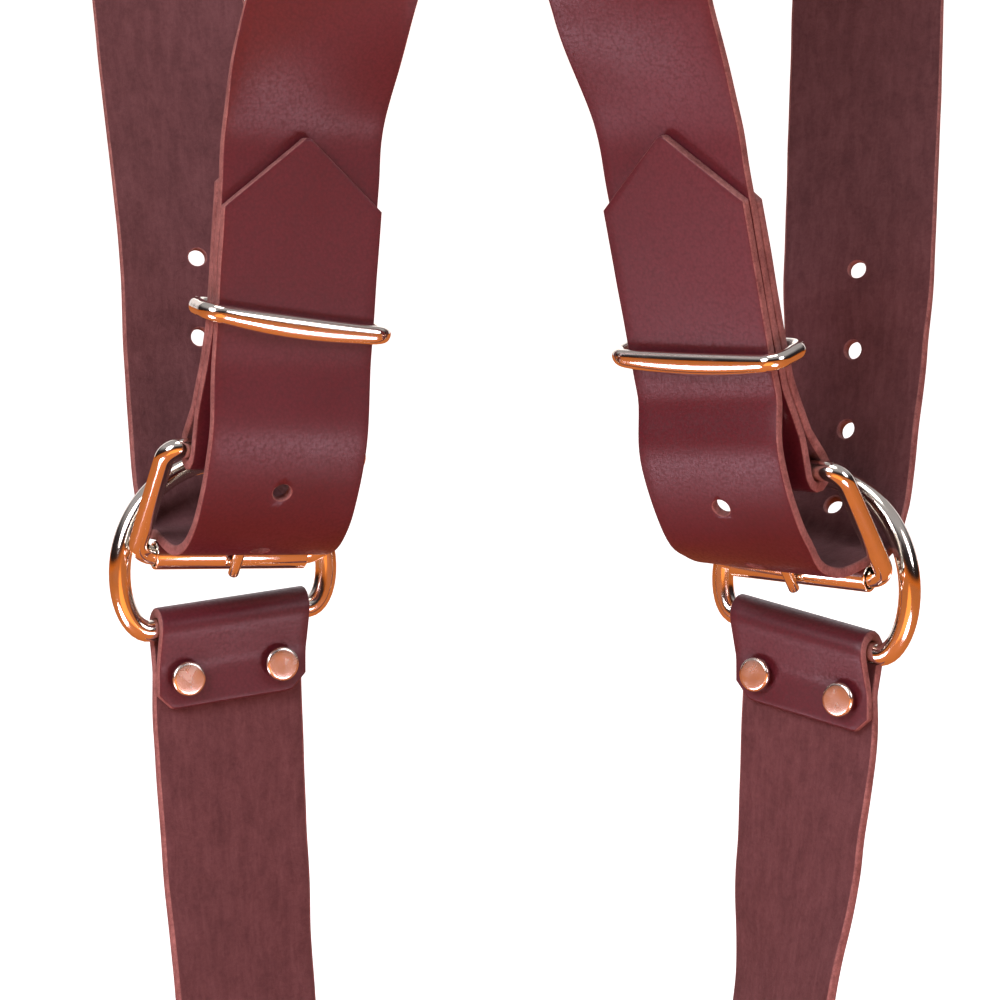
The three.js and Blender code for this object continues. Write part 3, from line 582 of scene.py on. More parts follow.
        free = s.lower_length - s.fold_tab - 4
        end_down = vec(side_lean, 0, -1).normalized()
        end_bar = (end_across - end_down * end_across.dot(end_down)).normalized()
        end_front = end_bar.cross(end_down).normalized()
        if end_front.y > 0:
            end_front.negate()
        guides = [
            (on_leg(self.fold_reach - 4, -1), across),
            (on_leg(self.fold_reach, -1), across),
            (on_leg(s.fold_tab, -1), across),
            (hang(0.25, free * 0.22), turning(0.3)),
            (hang(0.6, free * 0.48), turning(0.75)),
            (hang(1, free * 0.72), -end_bar),
            (hang(1, free - s.fold_tab + 2), -end_bar),
            (hang(1, free - self.fold_reach), -end_bar),
            (hang(1, free - self.fold_reach + 4), -end_bar),
        ]
        run = curve_stations(guides, 1, len(guides) - 2, square=False)
        snap_bar = guides[-2][0] + end_front * self.offset / 2 + end_down * self.fold_reach
        snap_fold = self.fold(snap_bar, -end_bar, -end_down, -end_front, s.snap_wire / 2)
        tab_start = (on_leg(s.fold_tab, 1), across, front.copy())
        tab_end = (snap_bar - end_down * s.fold_tab + end_front * self.offset / 2, -end_bar, end_front.copy())
        self.lower_stations = [tab_start, *fold[:-1], *run, *snap_fold[1:], tab_end]
        self.lower_total = distances(self.lower_stations)[-1]
        flared = self.grip + 2.6
        self.ring_rivets = self.rivet_pair(self.ring_centre + down * self.rivet_reach, bar, front, flared)
        self.snap_rivets = self.rivet_pair(snap_bar - end_down * self.rivet_reach, end_bar, end_front, flared)
        up = -end_down
        self.snap_matrix = placed(end_bar, up, end_bar.cross(up), snap_bar)


# ---- Mesh tools ---------------------------------------------------------------------------------


def deselect():
    if bpy.context.object and bpy.context.object.mode != "OBJECT":
        bpy.ops.object.mode_set(mode="OBJECT")
    bpy.ops.object.select_all(action="DESELECT")


def only(obj):
    deselect()
    obj.select_set(True)
    bpy.context.view_layer.objects.active = obj
    return obj


def edit(obj):
    only(obj)
    bpy.ops.object.mode_set(mode="EDIT")
    bpy.ops.mesh.select_all(action="SELECT")


def done(obj, angle=40):
    """Merges doubles, turns the faces outwards, and shades the mesh smooth up to an angle."""
    edit(obj)
    bpy.ops.mesh.remove_doubles(threshold=0.000002)
    bpy.ops.mesh.normals_make_consistent(inside=False)
    bpy.ops.object.mode_set(mode="OBJECT")
    bpy.ops.object.shade_smooth_by_angle(angle=math.radians(angle))
    return obj


def use(name, obj, *finishes):
    obj.name = name
    obj.data.name = name
    obj.data.materials.clear()
    for finish in finishes:
        obj.data.materials.append(finish)


def apply(obj, kind, **values):
    only(obj)
    modifier = obj.modifiers.new(kind, kind)
    for name, value in values.items():
        setattr(modifier, name, value)
    bpy.ops.object.modifier_apply(modifier=modifier.name)


def joined(first, *others):
    only(first)
    for other in others:
        other.select_set(True)
    bpy.ops.object.join()
    return first


def copied(obj, matrix):
    """A copy with its own mesh, moved by a matrix in millimetres."""
    twin = obj.copy()
    twin.data = obj.data.copy()
    bpy.context.scene.collection.objects.link(twin)
    twin.data.transform(Matrix.Scale(MM, 4) @ matrix @ Matrix.Scale(1 / MM, 4))
    return twin


def put(obj, matrix):
    """Places a mesh that was drawn in millimetres."""
    obj.data.transform(Matrix.Scale(MM, 4) @ matrix)
    return obj


def skin(rows, capped=True):
    """A tube of leather or wire through rows of points, each row a closed ring of the same length."""
    around, along = len(rows[0]), len(rows)
    deselect()
    bpy.ops.mesh.primitive_grid_add(x_subdivisions=around, y_subdivisions=along - 1, size=1)
    obj = bpy.context.object
    points = []
    for row in rows:
        points.extend(row)
        points.append(row[0])
    obj.data.vertices.foreach_set("co", [c for point in points for c in point])
    edit(obj)
    bpy.ops.mesh.remove_doubles(threshold=0.0001)
    if capped:
        bpy.ops.mesh.select_all(action="DESELECT")
        bpy.ops.mesh.fill_holes(sides=0)
        bpy.ops.mesh.select_all(action="DESELECT")
        bpy.ops.mesh.select_mode(type="EDGE")
        bpy.ops.mesh.select_non_manifold()
        bpy.ops.mesh.edge_face_add()
        bpy.ops.mesh.select_mode(type="VERT")
    bpy.ops.object.mode_set(mode="OBJECT")
    return obj


def lathe(profile, segments=40):
    """A turned piece about Z: a ring is extruded and resized along the profile, in millimetres."""
    deselect()
    radius, height = profile[0]
    bpy.ops.mesh.primitive_circle_add(vertices=segments, radius=radius, location=(0, 0, 0))
    obj = bpy.context.object
    edit(obj)
    bpy.ops.transform.translate(value=(0, 0, height))
    for (r0, z0), (r1, z1) in zip(profile, profile[1:]):
        bpy.ops.mesh.extrude_region_move(TRANSFORM_OT_translate={"value": (0, 0, z1 - z0)})
        if abs(r1 - r0) > 1e-9:
            bpy.ops.transform.resize(value=(r1 / r0, r1 / r0, 1), center_override=(0, 0, z1))
    bpy.ops.mesh.select_all(action="SELECT")
    bpy.ops.mesh.remove_doubles(threshold=0.002)
    bpy.ops.mesh.fill_holes(sides=0)
    bpy.ops.object.mode_set(mode="OBJECT")
    return obj


def tube(points, radius_at, sides=20, flatten=1):
    """A rod along points, with rounded ends. radius_at gives the radius for a share of the way."""
    spans = distances([(point,) for point in points])
    total = spans[-1]
    way = (points[1] - points[0]).normalized()
    across = way.orthogonal().normalized()
    frames = []
    for i, point in enumerate(points):
        before, after = points[max(i - 1, 0)], points[min(i + 1, len(points) - 1)]
        way = (after - before).normalized()
        across = (across - way * across.dot(way)).normalized()
        frames.append((point, way, across, way.cross(across), radius_at(spans[i] / total)))

    def ring(point, across, up, radius):
        return [
            point + (across * math.cos(a) * flatten + up * math.sin(a)) * radius
            for a in (2 * math.pi * k / sides for k in range(sides))
        ]

    def dome(frame, outward, steps):
        point, way, across, up, radius = frame
        for k in steps:
            c, s = turned(k * 15)
            yield ring(point + way * outward * radius * s * 0.6, across, up, radius * c)

    rows = list(dome(frames[0], -1, (5, 4, 3, 2, 1)))
    rows += [ring(point, across, up, radius) for point, _, across, up, radius in frames]
    rows += list(dome(frames[-1], 1, (1, 2, 3, 4, 5)))
    return skin(rows)


def straight(start, stop, steps=8):
    return [start.lerp(stop, i / steps) for i in range(steps)]


def arc(centre, radii, start, stop, steps=9):
    out = []
    for i in range(steps):
        c, s = turned(start + (stop - start) * i / steps)
        out.append(Vector((centre[0] + radii[0] * c, centre[1] + radii[1] * s)))
    return out


def rounded_rectangle(width, bottom, top, low_radius, high_radius):
    half = width / 2
    corners = (
        (half - low_radius, bottom + low_radius, low_radius, -90),
        (half - high_radius, top - high_radius, high_radius, 0),
        (-half + high_radius, top - high_radius, high_radius, 90),
        (-half + low_radius, bottom + low_radius, low_radius, 180),
    )
    out = []
    for i, (x, y, radius, start) in enumerate(corners):
        out += arc((x, y), (radius, radius), start, start + 90)
        following = corners[(i + 1) % 4]
        c, s = turned(start + 90)
        here = Vector((x + radius * c, y + radius * s))
        there = Vector((following[0] + following[2] * c, following[1] + following[2] * s))
        out += straight(here, there, 12)
    return out


def wire_loop(outline, wire, band, sides=20, shaped=None):
    """A closed wire bent along a flat outline. shaped may change the band and the height at a point."""
    count = len(outline)
    deselect()
    bpy.ops.mesh.primitive_torus_add(
        major_segments=count, minor_segments=sides, major_radius=1, minor_radius=0.25
    )
    obj = bpy.context.object
    points = []
    for i, here in enumerate(outline):
        before, after = outline[i - 1], outline[(i + 1) % count]
        along = ((here - before).normalized() + (after - here).normalized()).normalized()
        mitre = wire / 2 / max(along.dot((after - here).normalized()), 0.3)
        tall, lift = shaped(here) if shaped else (band, 0)
        for k in range(sides):
            c, s = turned(360 * k / sides)
            points += [here.x + along.y * c * mitre, here.y - along.x * c * mitre, s * tall / 2 + lift]
    obj.data.vertices.foreach_set("co", points)
    return obj


def carve(obj, cutters):
    """Cuts the joined cutters out of a piece, and removes them."""
    cutter = joined(*cutters) if len(cutters) > 1 else cutters[0]
    done(cutter)
    for finish in obj.data.materials:
        cutter.data.materials.append(finish)
    for face in cutter.data.polygons:
        face.material_index = EDGE
    apply(obj, "BOOLEAN", object=cutter, operation="DIFFERENCE", solver="EXACT")
    bpy.data.objects.remove(cutter)


def hole_cutter(point, way, radius, reach, flare=0.32, steps=3):
    """A punch with flared ends, so that the rim of the hole is rounded over."""
    half = sizes().strap_thickness / 2
    wide = radius + flare * 2.5
    lower = [(wide, -reach), (wide, -half - flare)]
    for k in range(steps):
        c, s = turned(90 * k / steps)
        lower.append((radius + flare * (1 - s), -half + flare * (1 - c)))
    lower.append((radius, -half + flare))
    obj = lathe([*lower, *((r, -z) for r, z in reversed(lower))], 28)
    side = way.orthogonal().normalized()
    return put(obj, placed(side, way.cross(side), way, point))


def strap_section(half, flat, corner, columns):
    """A strap's section: the grain side, a rounded edge, the flesh side and the other edge."""
    x, z = half - corner, flat - corner
    across = [x * (2 * i / columns - 1) for i in range(columns + 1)]

    def edge(side, face, angles):
        return [(side * x + corner * turned(a)[0], face * z + corner * turned(a)[1]) for a in angles]

    return [
        *((place, flat) for place in across), *edge(1, 1, (60, 30, 0)), *edge(1, -1, (0, -30, -60)),
        *((place, -flat) for place in reversed(across)),
        *edge(-1, -1, (240, 210, 180)), *edge(-1, 1, (180, 150, 120)),
    ]


def rivet_sink(here, grain, dimples):
    """How far the leather is pressed in by the rivets near a point."""
    sink = 0
    for centre, direction in dimples:
        offset = here - centre
        away = (offset - direction * offset.dot(direction)).length
        if away < DIMPLE_REACH and grain.dot(offset) > 0:
            sink += DIMPLE_DEPTH * math.exp(-((away / DIMPLE_RADIUS) ** 2))
    return sink


def strap_spots(total, outline, bevel, step):
    """The distances at which a strap gets a section: close together where its ends are rounded."""
    steps = round(total / step)
    spots = {edge for edge, _ in outline} | {total * i / steps for i in range(steps + 1)}
    spots = sorted(x for x in spots if bevel * 1.6 < x < total - bevel * 1.6)
    ends = [bevel * (1 - turned(a)[0]) for a in (0, 30, 60, 90)]
    return [*ends, *spots, *(total - e for e in reversed(ends))]


def paint_strap(obj, around, columns, sections, spots):
    """Gives each face its side of the leather, and a flat map in metres along and across."""
    flesh_start = columns + 7
    flat_map = obj.data.uv_layers.active
    flat_map.name = "Flat"
    for face in obj.data.polygons:
        if len(face.vertices) > 4:
            face.material_index = EDGE
            continue
        row, column = divmod(face.index, around)
        if column <= columns or column == around - 1:
            face.material_index = GRAIN
        elif flesh_start <= column < flesh_start + columns:
            face.material_index = FLESH
        else:
            face.material_index = EDGE
        for loop, (r, c) in zip(face.loop_indices, ((0, 0), (0, 1), (1, 1), (1, 0))):
            line = min(row + r, len(spots) - 1)
            flat_map.data[loop].uv = (sections[line][(column + c) % around] * MM, spots[line] * MM)


def strap(name, stations, outline, dimples=(), step=2.0, columns=14):
    """A strap along its stations. outline holds pairs of distance and half width."""
    s = sizes()
    lengths = distances(stations)
    total = lengths[-1]
    thick, bevel = s.strap_thickness / 2, s.edge_round
    spots = strap_spots(total, outline, bevel, step)
    seed = sum(ord(letter) for letter in name)

    def half_width(spot):
        edge = 1
        while edge < len(outline) - 1 and outline[edge][0] < spot:
            edge += 1
        (d0, h0), (d1, h1) = outline[edge - 1], outline[edge]
        return h0 + (h1 - h0) * min(max((spot - d0) / (d1 - d0), 0), 1)

    def end_shrink(spot):
        near = min(spot, total - spot)
        return 0 if near >= bevel else bevel - math.sqrt(max(bevel**2 - (bevel - near) ** 2, 0))

    def ring(spot):
        point, across, grain = station_at(stations, lengths, spot)
        shrink = end_shrink(spot)
        half = max(half_width(spot) - shrink, 0.25)
        wander = [
            noise.noise(Vector((spot * WANDER_PITCH, side * 7.0, seed))) * EDGE_WANDER for side in (0, 1)
        ]
        section = strap_section(half, thick - shrink, min(bevel, half * 0.45), columns)
        points = []
        for x, z in section:
            moved = x + (wander[0] if x < 0 else wander[1]) * abs(x / half)
            here = point + across * moved + grain * z
            points.append(here - grain * rivet_sink(here, grain, dimples) * (1 if z > 0 else -1))
        return points, [x for x, _ in section]

    rings = [ring(spot) for spot in spots]
    obj = skin([points for points, _ in rings])
    use(name, obj, *leathers())
    paint_strap(obj, len(rings[0][0]), columns, [xs for _, xs in rings], spots)
    return done(put(obj, Matrix.Identity(4)), SMOOTH_ANGLE)


# ---- Finishes -----------------------------------------------------------------------------------


def new_group(name, inputs, outputs):
    group = bpy.data.node_groups.new(name, "ShaderNodeTree")
    for label, kind, default in inputs:
        socket = group.interface.new_socket(name=label, in_out="INPUT", socket_type=kind)
        socket.default_value = default
    for label, kind in outputs:
        group.interface.new_socket(name=label, in_out="OUTPUT", socket_type=kind)
    return group, group.nodes.new("NodeGroupInput"), group.nodes.new("NodeGroupOutput")


def link(tree, start, stop):
    tree.links.new(start, stop)


def node(tree, kind, **values):
    made = tree.nodes.new(kind)
    for name, value in values.items():
        setattr(made, name, value)
    return made


def math_node(tree, operation, first, second=None):
    made = node(tree, "ShaderNodeMath", operation=operation)
    for socket, value in zip(made.inputs, (first, second)):
        if value is None:
            continue
        if isinstance(value, (int, float)):
            socket.default_value = value
        else:
            link(tree, value, socket)
    return made.outputs[0]


def blended(tree, first, second):
    """The sum of two values, each a pair of socket and weight."""
    parts = [math_node(tree, "MULTIPLY", socket, weight) for socket, weight in (first, second)]
    return math_node(tree, "ADD", *parts)


def noise_node(tree, vector, scale, detail=4, roughness=0.5, distortion=0):
    made = node(tree, "ShaderNodeTexNoise")
    link(tree, vector, made.inputs["Vector"])
    if isinstance(scale, (int, float)):
        made.inputs["Scale"].default_value = scale
    else:
        link(tree, scale, made.inputs["Scale"])
    made.inputs["Detail"].default_value = detail
    made.inputs["Roughness"].default_value = roughness
    made.inputs["Distortion"].default_value = distortion
    return made.outputs["Fac"]


def mapped(tree, value, low, high, to_low=0, to_high=1):
    made = node(tree, "ShaderNodeMapRange")
    link(tree, value, made.inputs["Value"])
    for name, number in (("From Min", low), ("From Max", high), ("To Min", to_low), ("To Max", to_high)):
        made.inputs[name].default_value = number
    return made.outputs["Result"]


def mixed_colour(tree, share, first, second):
    made = node(tree, "ShaderNodeMix", data_type="RGBA")
    link(tree, share, made.inputs[0])
    for socket, value in ((made.inputs[6], first), (made.inputs[7], second)):
        if isinstance(value, bpy.types.NodeSocket):
            link(tree, value, socket)
        else:
            socket.default_value = (*value, 1)
    return made.outputs[2]


def pebble_group():
    """Fine pebbled leather grain: a height, and a mask of the valleys between the pebbles."""
    group, entry, exit_node = new_group(
        "Pebbled Grain",
        [("Vector", "NodeSocketVector", (0, 0, 0)), ("Scale", "NodeSocketFloat", 900.0)],
        [("Height", "NodeSocketFloat"), ("Valleys", "NodeSocketFloat")],
    )
    warp = node(group, "ShaderNodeTexNoise")
    link(group, entry.outputs["Vector"], warp.inputs["Vector"])
    warp.inputs["Scale"].default_value = 700
    warp.inputs["Detail"].default_value = 2
    shifted = node(group, "ShaderNodeVectorMath", operation="MULTIPLY_ADD")
    link(group, warp.outputs["Color"], shifted.inputs[0])
    shifted.inputs[1].default_value = (0.0005, 0.0005, 0.0005)
    link(group, entry.outputs["Vector"], shifted.inputs[2])
    cells = node(group, "ShaderNodeTexVoronoi", feature="SMOOTH_F1")
    link(group, shifted.outputs[0], cells.inputs["Vector"])
    link(group, entry.outputs["Scale"], cells.inputs["Scale"])
    cells.inputs["Smoothness"].default_value = 0.35
    small = math_node(group, "MULTIPLY", entry.outputs["Scale"], 2.3)
    fine = noise_node(group, entry.outputs["Vector"], small, 3, 0.6)
    rise = math_node(group, "SUBTRACT", 1.0, cells.outputs["Distance"])
    height = blended(group, (rise, 0.7), (fine, 0.3))
    link(group, height, exit_node.inputs["Height"])
    valleys = mapped(group, cells.outputs["Distance"], 0.35, 0.8)
    link(group, valleys, exit_node.inputs["Valleys"])
    return group


def fibre_group():
    """Brushed fibres of a cut or suede surface: a height and mottled shares for colour."""
    group, entry, exit_node = new_group(
        "Leather Fibres",
        [("Vector", "NodeSocketVector", (0, 0, 0)), ("Scale", "NodeSocketFloat", 600.0)],
        [("Height", "NodeSocketFloat"), ("Mottle", "NodeSocketFloat")],
    )
    fine = noise_node(group, entry.outputs["Vector"], entry.outputs["Scale"], 6, 0.72, 0.6)
    broad_scale = math_node(group, "MULTIPLY", entry.outputs["Scale"], 0.16)
    broad = noise_node(group, entry.outputs["Vector"], broad_scale, 5, 0.65, 0.4)
    link(group, fine, exit_node.inputs["Height"])
    share = blended(group, (fine, 0.55), (broad, 0.45))
    link(group, mapped(group, share, 0.34, 0.68), exit_node.inputs["Mottle"])
    return group


def polish_group():
    """Handled polish: smudges that dull the metal and fine scratches."""
    group, entry, exit_node = new_group(
        "Handled Polish",
        [("Vector", "NodeSocketVector", (0, 0, 0)), ("Smudge Scale", "NodeSocketFloat", 90.0)],
        [("Smudge", "NodeSocketFloat"), ("Scratches", "NodeSocketFloat")],
    )
    smudge = noise_node(group, entry.outputs["Vector"], entry.outputs["Smudge Scale"], 4, 0.6, 0.8)
    link(group, mapped(group, smudge, 0.42, 0.75), exit_node.inputs["Smudge"])
    stretched = node(group, "ShaderNodeMapping")
    stretched.inputs["Scale"].default_value = (1, 1, 14)
    link(group, entry.outputs["Vector"], stretched.inputs["Vector"])
    scratch = noise_node(group, stretched.outputs["Vector"], 700, 3, 0.7)
    link(group, scratch, exit_node.inputs["Scratches"])
    return group


def shared(name, build):
    return bpy.data.node_groups.get(name) or build()


def new_finish(name):
    finish = bpy.data.materials.new(name)
    finish.use_nodes = True
    tree = finish.node_tree
    return finish, tree, tree.nodes["Principled BSDF"], node(tree, "ShaderNodeTexCoord")


def place_group(tree, group, vector, scale_name, scale):
    made = node(tree, "ShaderNodeGroup", node_tree=group)
    link(tree, vector, made.inputs["Vector"])
    made.inputs[scale_name].default_value = scale
    return made


def add_bump(tree, shader, height, strength, distance):
    bump = node(tree, "ShaderNodeBump")
    bump.inputs["Strength"].default_value = strength
    bump.inputs["Distance"].default_value = distance
    link(tree, height, bump.inputs["Height"])
    link(tree, bump.outputs["Normal"], shader.inputs["Normal"])


def grain_finish(colours):
    """Waxed, semi-gloss grain side of the leather."""
    finish, tree, shader, where = new_finish("Waxed Grain Leather")
    place = where.outputs["Object"]
    group = shared("Pebbled Grain", pebble_group)
    pebble = place_group(tree, group, place, "Scale", 1 / colours.pebble_size)
    cloud = noise_node(tree, place, 30, 3, 0.5, 0.2)
    speck = noise_node(tree, place, 1500, 2, 0.6)
    patches = mapped(tree, cloud, 0.3, 0.75, 0.2, 0.6)
    share = math_node(tree, "ADD", patches, mapped(tree, speck, 0.4, 0.7, 0, 0.4))
    base = mixed_colour(tree, share, tuple(colours.grain_deep), tuple(colours.grain_light))
    # Painted shade: the valleys between the pebbles are darkened a quarter of the way towards a deeper copy
    # of the dark dye.
    deep = tuple(c * 0.45 for c in colours.grain_deep)
    valley_shade_share = math_node(tree, "MULTIPLY", pebble.outputs["Valleys"], 0.25)
    link(tree, mixed_colour(tree, valley_shade_share, base, deep), shader.inputs["Base Color"])
    dull = mapped(tree, cloud, 0.3, 0.7, 0.36, 0.48)
    rough = math_node(tree, "ADD", dull, mapped(tree, pebble.outputs["Valleys"], 0, 1, 0, 0.12))
    link(tree, rough, shader.inputs["Roughness"])
    shader.inputs["Specular IOR Level"].default_value = 0.42
    shader.inputs["Coat Weight"].default_value = 0.08
    shader.inputs["Coat Roughness"].default_value = 0.32
    shader.inputs["Sheen Weight"].default_value = 0.015
    shader.inputs["Sheen Tint"].default_value = (0.75, 0.62, 0.9, 1)
    wrinkle = noise_node(tree, place, 160, 3, 0.6, 1.2)
    height = math_node(tree, "ADD", pebble.outputs["Height"], math_node(tree, "MULTIPLY", wrinkle, 0.25))
    add_bump(tree, shader, height, 0.3, 0.0001)
    return finish


def flesh_finish(colours):
    """Matt, brushed flesh side of the leather."""
    finish, tree, shader, where = new_finish("Brushed Flesh Leather")
    fibres = place_group(tree, shared("Leather Fibres", fibre_group), where.outputs["Object"], "Scale", 900)
    streak_map = node(tree, "ShaderNodeMapping")
    streak_map.inputs["Scale"].default_value = (1, 0.22, 1)
    link(tree, where.outputs["UV"], streak_map.inputs["Vector"])
    streak = noise_node(tree, streak_map.outputs["Vector"], 420, 4, 0.7, 0.5)
    mottle = math_node(tree, "MULTIPLY", fibres.outputs["Mottle"], 0.75)
    share = math_node(tree, "ADD", mottle, mapped(tree, streak, 0.4, 0.7, -0.1, 0.3))
    base = mixed_colour(tree, share, tuple(colours.flesh_deep), tuple(colours.flesh_light))
    link(tree, base, shader.inputs["Base Color"])
    link(tree, mapped(tree, fibres.outputs["Mottle"], 0, 1, 0.78, 0.95), shader.inputs["Roughness"])
    shader.inputs["Specular IOR Level"].default_value = 0.22
    shader.inputs["Sheen Weight"].default_value = 0.05
    shader.inputs["Sheen Roughness"].default_value = 0.6
    shader.inputs["Sheen Tint"].default_value = (0.85, 0.66, 0.66, 1)
    add_bump(tree, shader, fibres.outputs["Height"], 0.8, 0.0004)
    return finish


def edge_finish(colours):
    """Raw cut edge, with pale fibres between dyed ones."""
    finish, tree, shader, where = new_finish("Raw Leather Edge")
    fibres = place_group(tree, shared("Leather Fibres", fibre_group), where.outputs["Object"], "Scale", 1300)
    base = mixed_colour(tree, fibres.outputs["Mottle"], tuple(colours.edge_deep), tuple(colours.edge_light))
    link(tree, base, shader.inputs["Base Color"])
    link(tree, mapped(tree, fibres.outputs["Mottle"], 0, 1, 0.6, 0.85), shader.inputs["Roughness"])
    shader.inputs["Specular IOR Level"].default_value = 0.3
    add_bump(tree, shader, fibres.outputs["Height"], 0.7, 0.00025)
    return finish


def metal_finish(name, bright, dull, roughness, smudge_scale):
    """Polished nickel with handled, slightly dull places."""
    finish, tree, shader, where = new_finish(name)
    group = shared("Handled Polish", polish_group)
    polish = place_group(tree, group, where.outputs["Object"], "Smudge Scale", smudge_scale)
    share = math_node(tree, "MULTIPLY", polish.outputs["Smudge"], 0.35)
    link(tree, mixed_colour(tree, share, tuple(bright), tuple(dull)), shader.inputs["Base Color"])
    shader.inputs["Metallic"].default_value = 1
    rough = mapped(tree, polish.outputs["Smudge"], 0, 1, roughness, roughness + 0.12)
    link(tree, rough, shader.inputs["Roughness"])
    add_bump(tree, shader, polish.outputs["Scratches"], 0.06, 0.00005)
    return finish


def finish_named(name):
    colours = bpy.context.scene.harness_finishes
    makers = {
        "Waxed Grain Leather": lambda: grain_finish(colours),
        "Brushed Flesh Leather": lambda: flesh_finish(colours),
        "Raw Leather Edge": lambda: edge_finish(colours),
        "Polished Nickel": lambda: metal_finish("Polished Nickel", colours.nickel, colours.smudge, 0.09, 90),
        "Worn Nickel": lambda: metal_finish("Worn Nickel", colours.nickel, colours.smudge, 0.2, 160),
    }
    return bpy.data.materials.get(name) or makers[name]()


def leathers():
    return [finish_named(n) for n in ("Waxed Grain Leather", "Brushed Flesh Leather", "Raw Leather Edge")]


def place_piece(obj, body, slot, *nodes):
    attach(obj, body)
    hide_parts(*nodes)


def place_hardware(obj, matrix, hand, piece, body):
    """Finishes a nickel piece that was drawn in its own axes, and sets it on its body."""
    put(obj, matrix)
    use(f"{hand}_{piece}", obj, finish_named("Polished Nickel"))
    done(obj)
    place_piece(obj, f"{body}_{hand}", "hardware", f"{piece}_{hand}")


# ---- Operators ----------------------------------------------------------------------------------


class HARNESS_OT_shoulder_straps(bpy.types.Operator):
    """Cut and bend the two shoulder straps, with their points and holes"""

    bl_idname = "harness.shoulder_straps"
    bl_label = "Shoulder Straps"

    def execute(self, context):
        for hand in HANDS:
            lay = Layout(hand)
            s, total, half = lay.s, lay.shoulder_total, lay.half
            outline = [(0, half), (total - s.tail_point, half), (total - 1, 1.8), (total, 0.8)]
            dimples = [(centre, way) for centre, way, _ in lay.upper_yoke_rivets]
            obj = strap(f"{hand}_shoulder_strap", lay.shoulder_stations, outline, dimples)
            cutters = [
                hole_cutter(point, grain, s.hole_diameter / 2, 4) for point, _, grain in lay.holes
            ]
            point, way = lay.tongue_hole
            cutters.append(hole_cutter(point, way, s.tongue_hole / 2, 4, flare=0.02))
            carve(obj, cutters)
            done(obj, SMOOTH_ANGLE)
            place_piece(obj, "straps", "leather", f"shoulder_strap_{hand}")
        return {"FINISHED"}


class HARNESS_OT_back_straps(bpy.types.Operator):
    """Cut the two back straps and fold them around the buckles' heel bars"""

    bl_idname = "harness.back_straps"
    bl_label = "Back Straps"

    slot_width = 4.6
    slot_tail = 9  # how far the tongue's slot runs up the strap from the heel bar

    def execute(self, context):
        for hand in HANDS:
            lay = Layout(hand)
            s, total, half = lay.s, lay.back_total, lay.half
            outline = [(0, half), (total - s.corner_clip, half), (total, half - s.corner_clip)]
            dimples = [(c, w) for c, w, _ in (*lay.heel_rivets, *lay.lower_yoke_rivets)]
            obj = strap(f"{hand}_back_strap", lay.back_stations, outline, dimples)
            reach = lay.bar_radius + lay.gap + s.strap_thickness + 1
            deselect()
            bpy.ops.mesh.primitive_cube_add(size=1)
            slot = bpy.context.object
            slot.data.transform(Matrix.Diagonal((self.slot_width, reach + self.slot_tail, 4 * reach, 1)))
            slot.data.transform(Matrix.Translation((0, (self.slot_tail - reach) / 2, 0)))
            apply(slot, "BEVEL", width=1.6, segments=4, limit_method="ANGLE", affect="EDGES")
            put(slot, lay.slot_axes)
            carve(obj, [slot])
            done(obj, SMOOTH_ANGLE)
            place_piece(obj, "straps", "leather", f"back_strap_{hand}")
        return {"FINISHED"}


class HARNESS_OT_lower_straps(bpy.types.Operator):
    """Cut the two lower straps and fold them around the rings and the snap loops"""

    bl_idname = "harness.lower_straps"
    bl_label = "Lower Straps"

    def execute(self, context):
        for hand in HANDS:
            lay = Layout(hand)
            s, total, half = lay.s, lay.lower_total, lay.half
            clip = s.corner_clip * 0.6
            outline = [(0, half - clip), (clip, half), (total - clip, half), (total, half - clip)]
            dimples = [(c, w) for c, w, _ in (*lay.ring_rivets, *lay.snap_rivets)]
            obj = strap(f"{hand}_lower_strap", lay.lower_stations, outline, dimples, 1.4, 18)
            place_piece(obj, f"lower_{hand}", "leather", f"lower_strap_{hand}")
        return {"FINISHED"}


class HARNESS_OT_back_yoke(bpy.types.Operator):
    """Cut the waisted back yoke and round its edges"""

    bl_idname = "harness.back_yoke"
    bl_label = "Back Yoke"

    def execute(self, context):
        lay = Layout("left")
        s = lay.s
        bottom, waist, top = (s.strap_width + extra for extra in (9.5, 8.5, 19.5))
        corner = 7
        corners = [
            Vector(c) for c in (
                (-bottom, 0), (bottom, 0), (waist, s.yoke_height / 2),
                (top, s.yoke_height), (-top, s.yoke_height), (-waist, s.yoke_height / 2),
            )
        ]
        outline = []
        for i, here in enumerate(corners):
            before, after = corners[i - 1], corners[(i + 1) % len(corners)]
            enter = here.lerp(before, corner / (here - before).length)
            leave = here.lerp(after, corner / (here - after).length)
            for k in range(9):
                t = k / 8
                outline.append(enter.lerp(here, t).lerp(here.lerp(leave, t), t))
        deselect()
        bpy.ops.mesh.primitive_circle_add(vertices=len(outline), radius=1, fill_type="NGON")
        obj = bpy.context.object
        flat = [c for p in outline for c in (p.x, 0, p.y)]
        obj.data.vertices.foreach_set("co", flat)
        edit(obj)
        bpy.ops.mesh.extrude_region_move(TRANSFORM_OT_translate={"value": (0, s.strap_thickness, 0)})
        bpy.ops.mesh.select_all(action="SELECT")
        bpy.ops.mesh.normals_make_consistent(inside=False)
        bpy.ops.object.mode_set(mode="OBJECT")
        apply(obj, "BEVEL", width=s.edge_round, segments=3, limit_method="ANGLE", angle_limit=1.0)
        front = lay.yoke_depth - lay.offset - s.strap_thickness / 2
        put(obj, Matrix.Translation((lay.yoke_x, front, lay.yoke_bottom)))
        use("harness_back_yoke", obj, *leathers())
        for face in obj.data.polygons:
            if face.normal.y < -0.5:
                face.material_index = GRAIN
            elif face.normal.y > 0.5:
                face.material_index = FLESH
            else:
                face.material_index = EDGE
        done(obj, SMOOTH_ANGLE)
        place_piece(obj, "straps", "leather", "back_yoke")
        return {"FINISHED"}


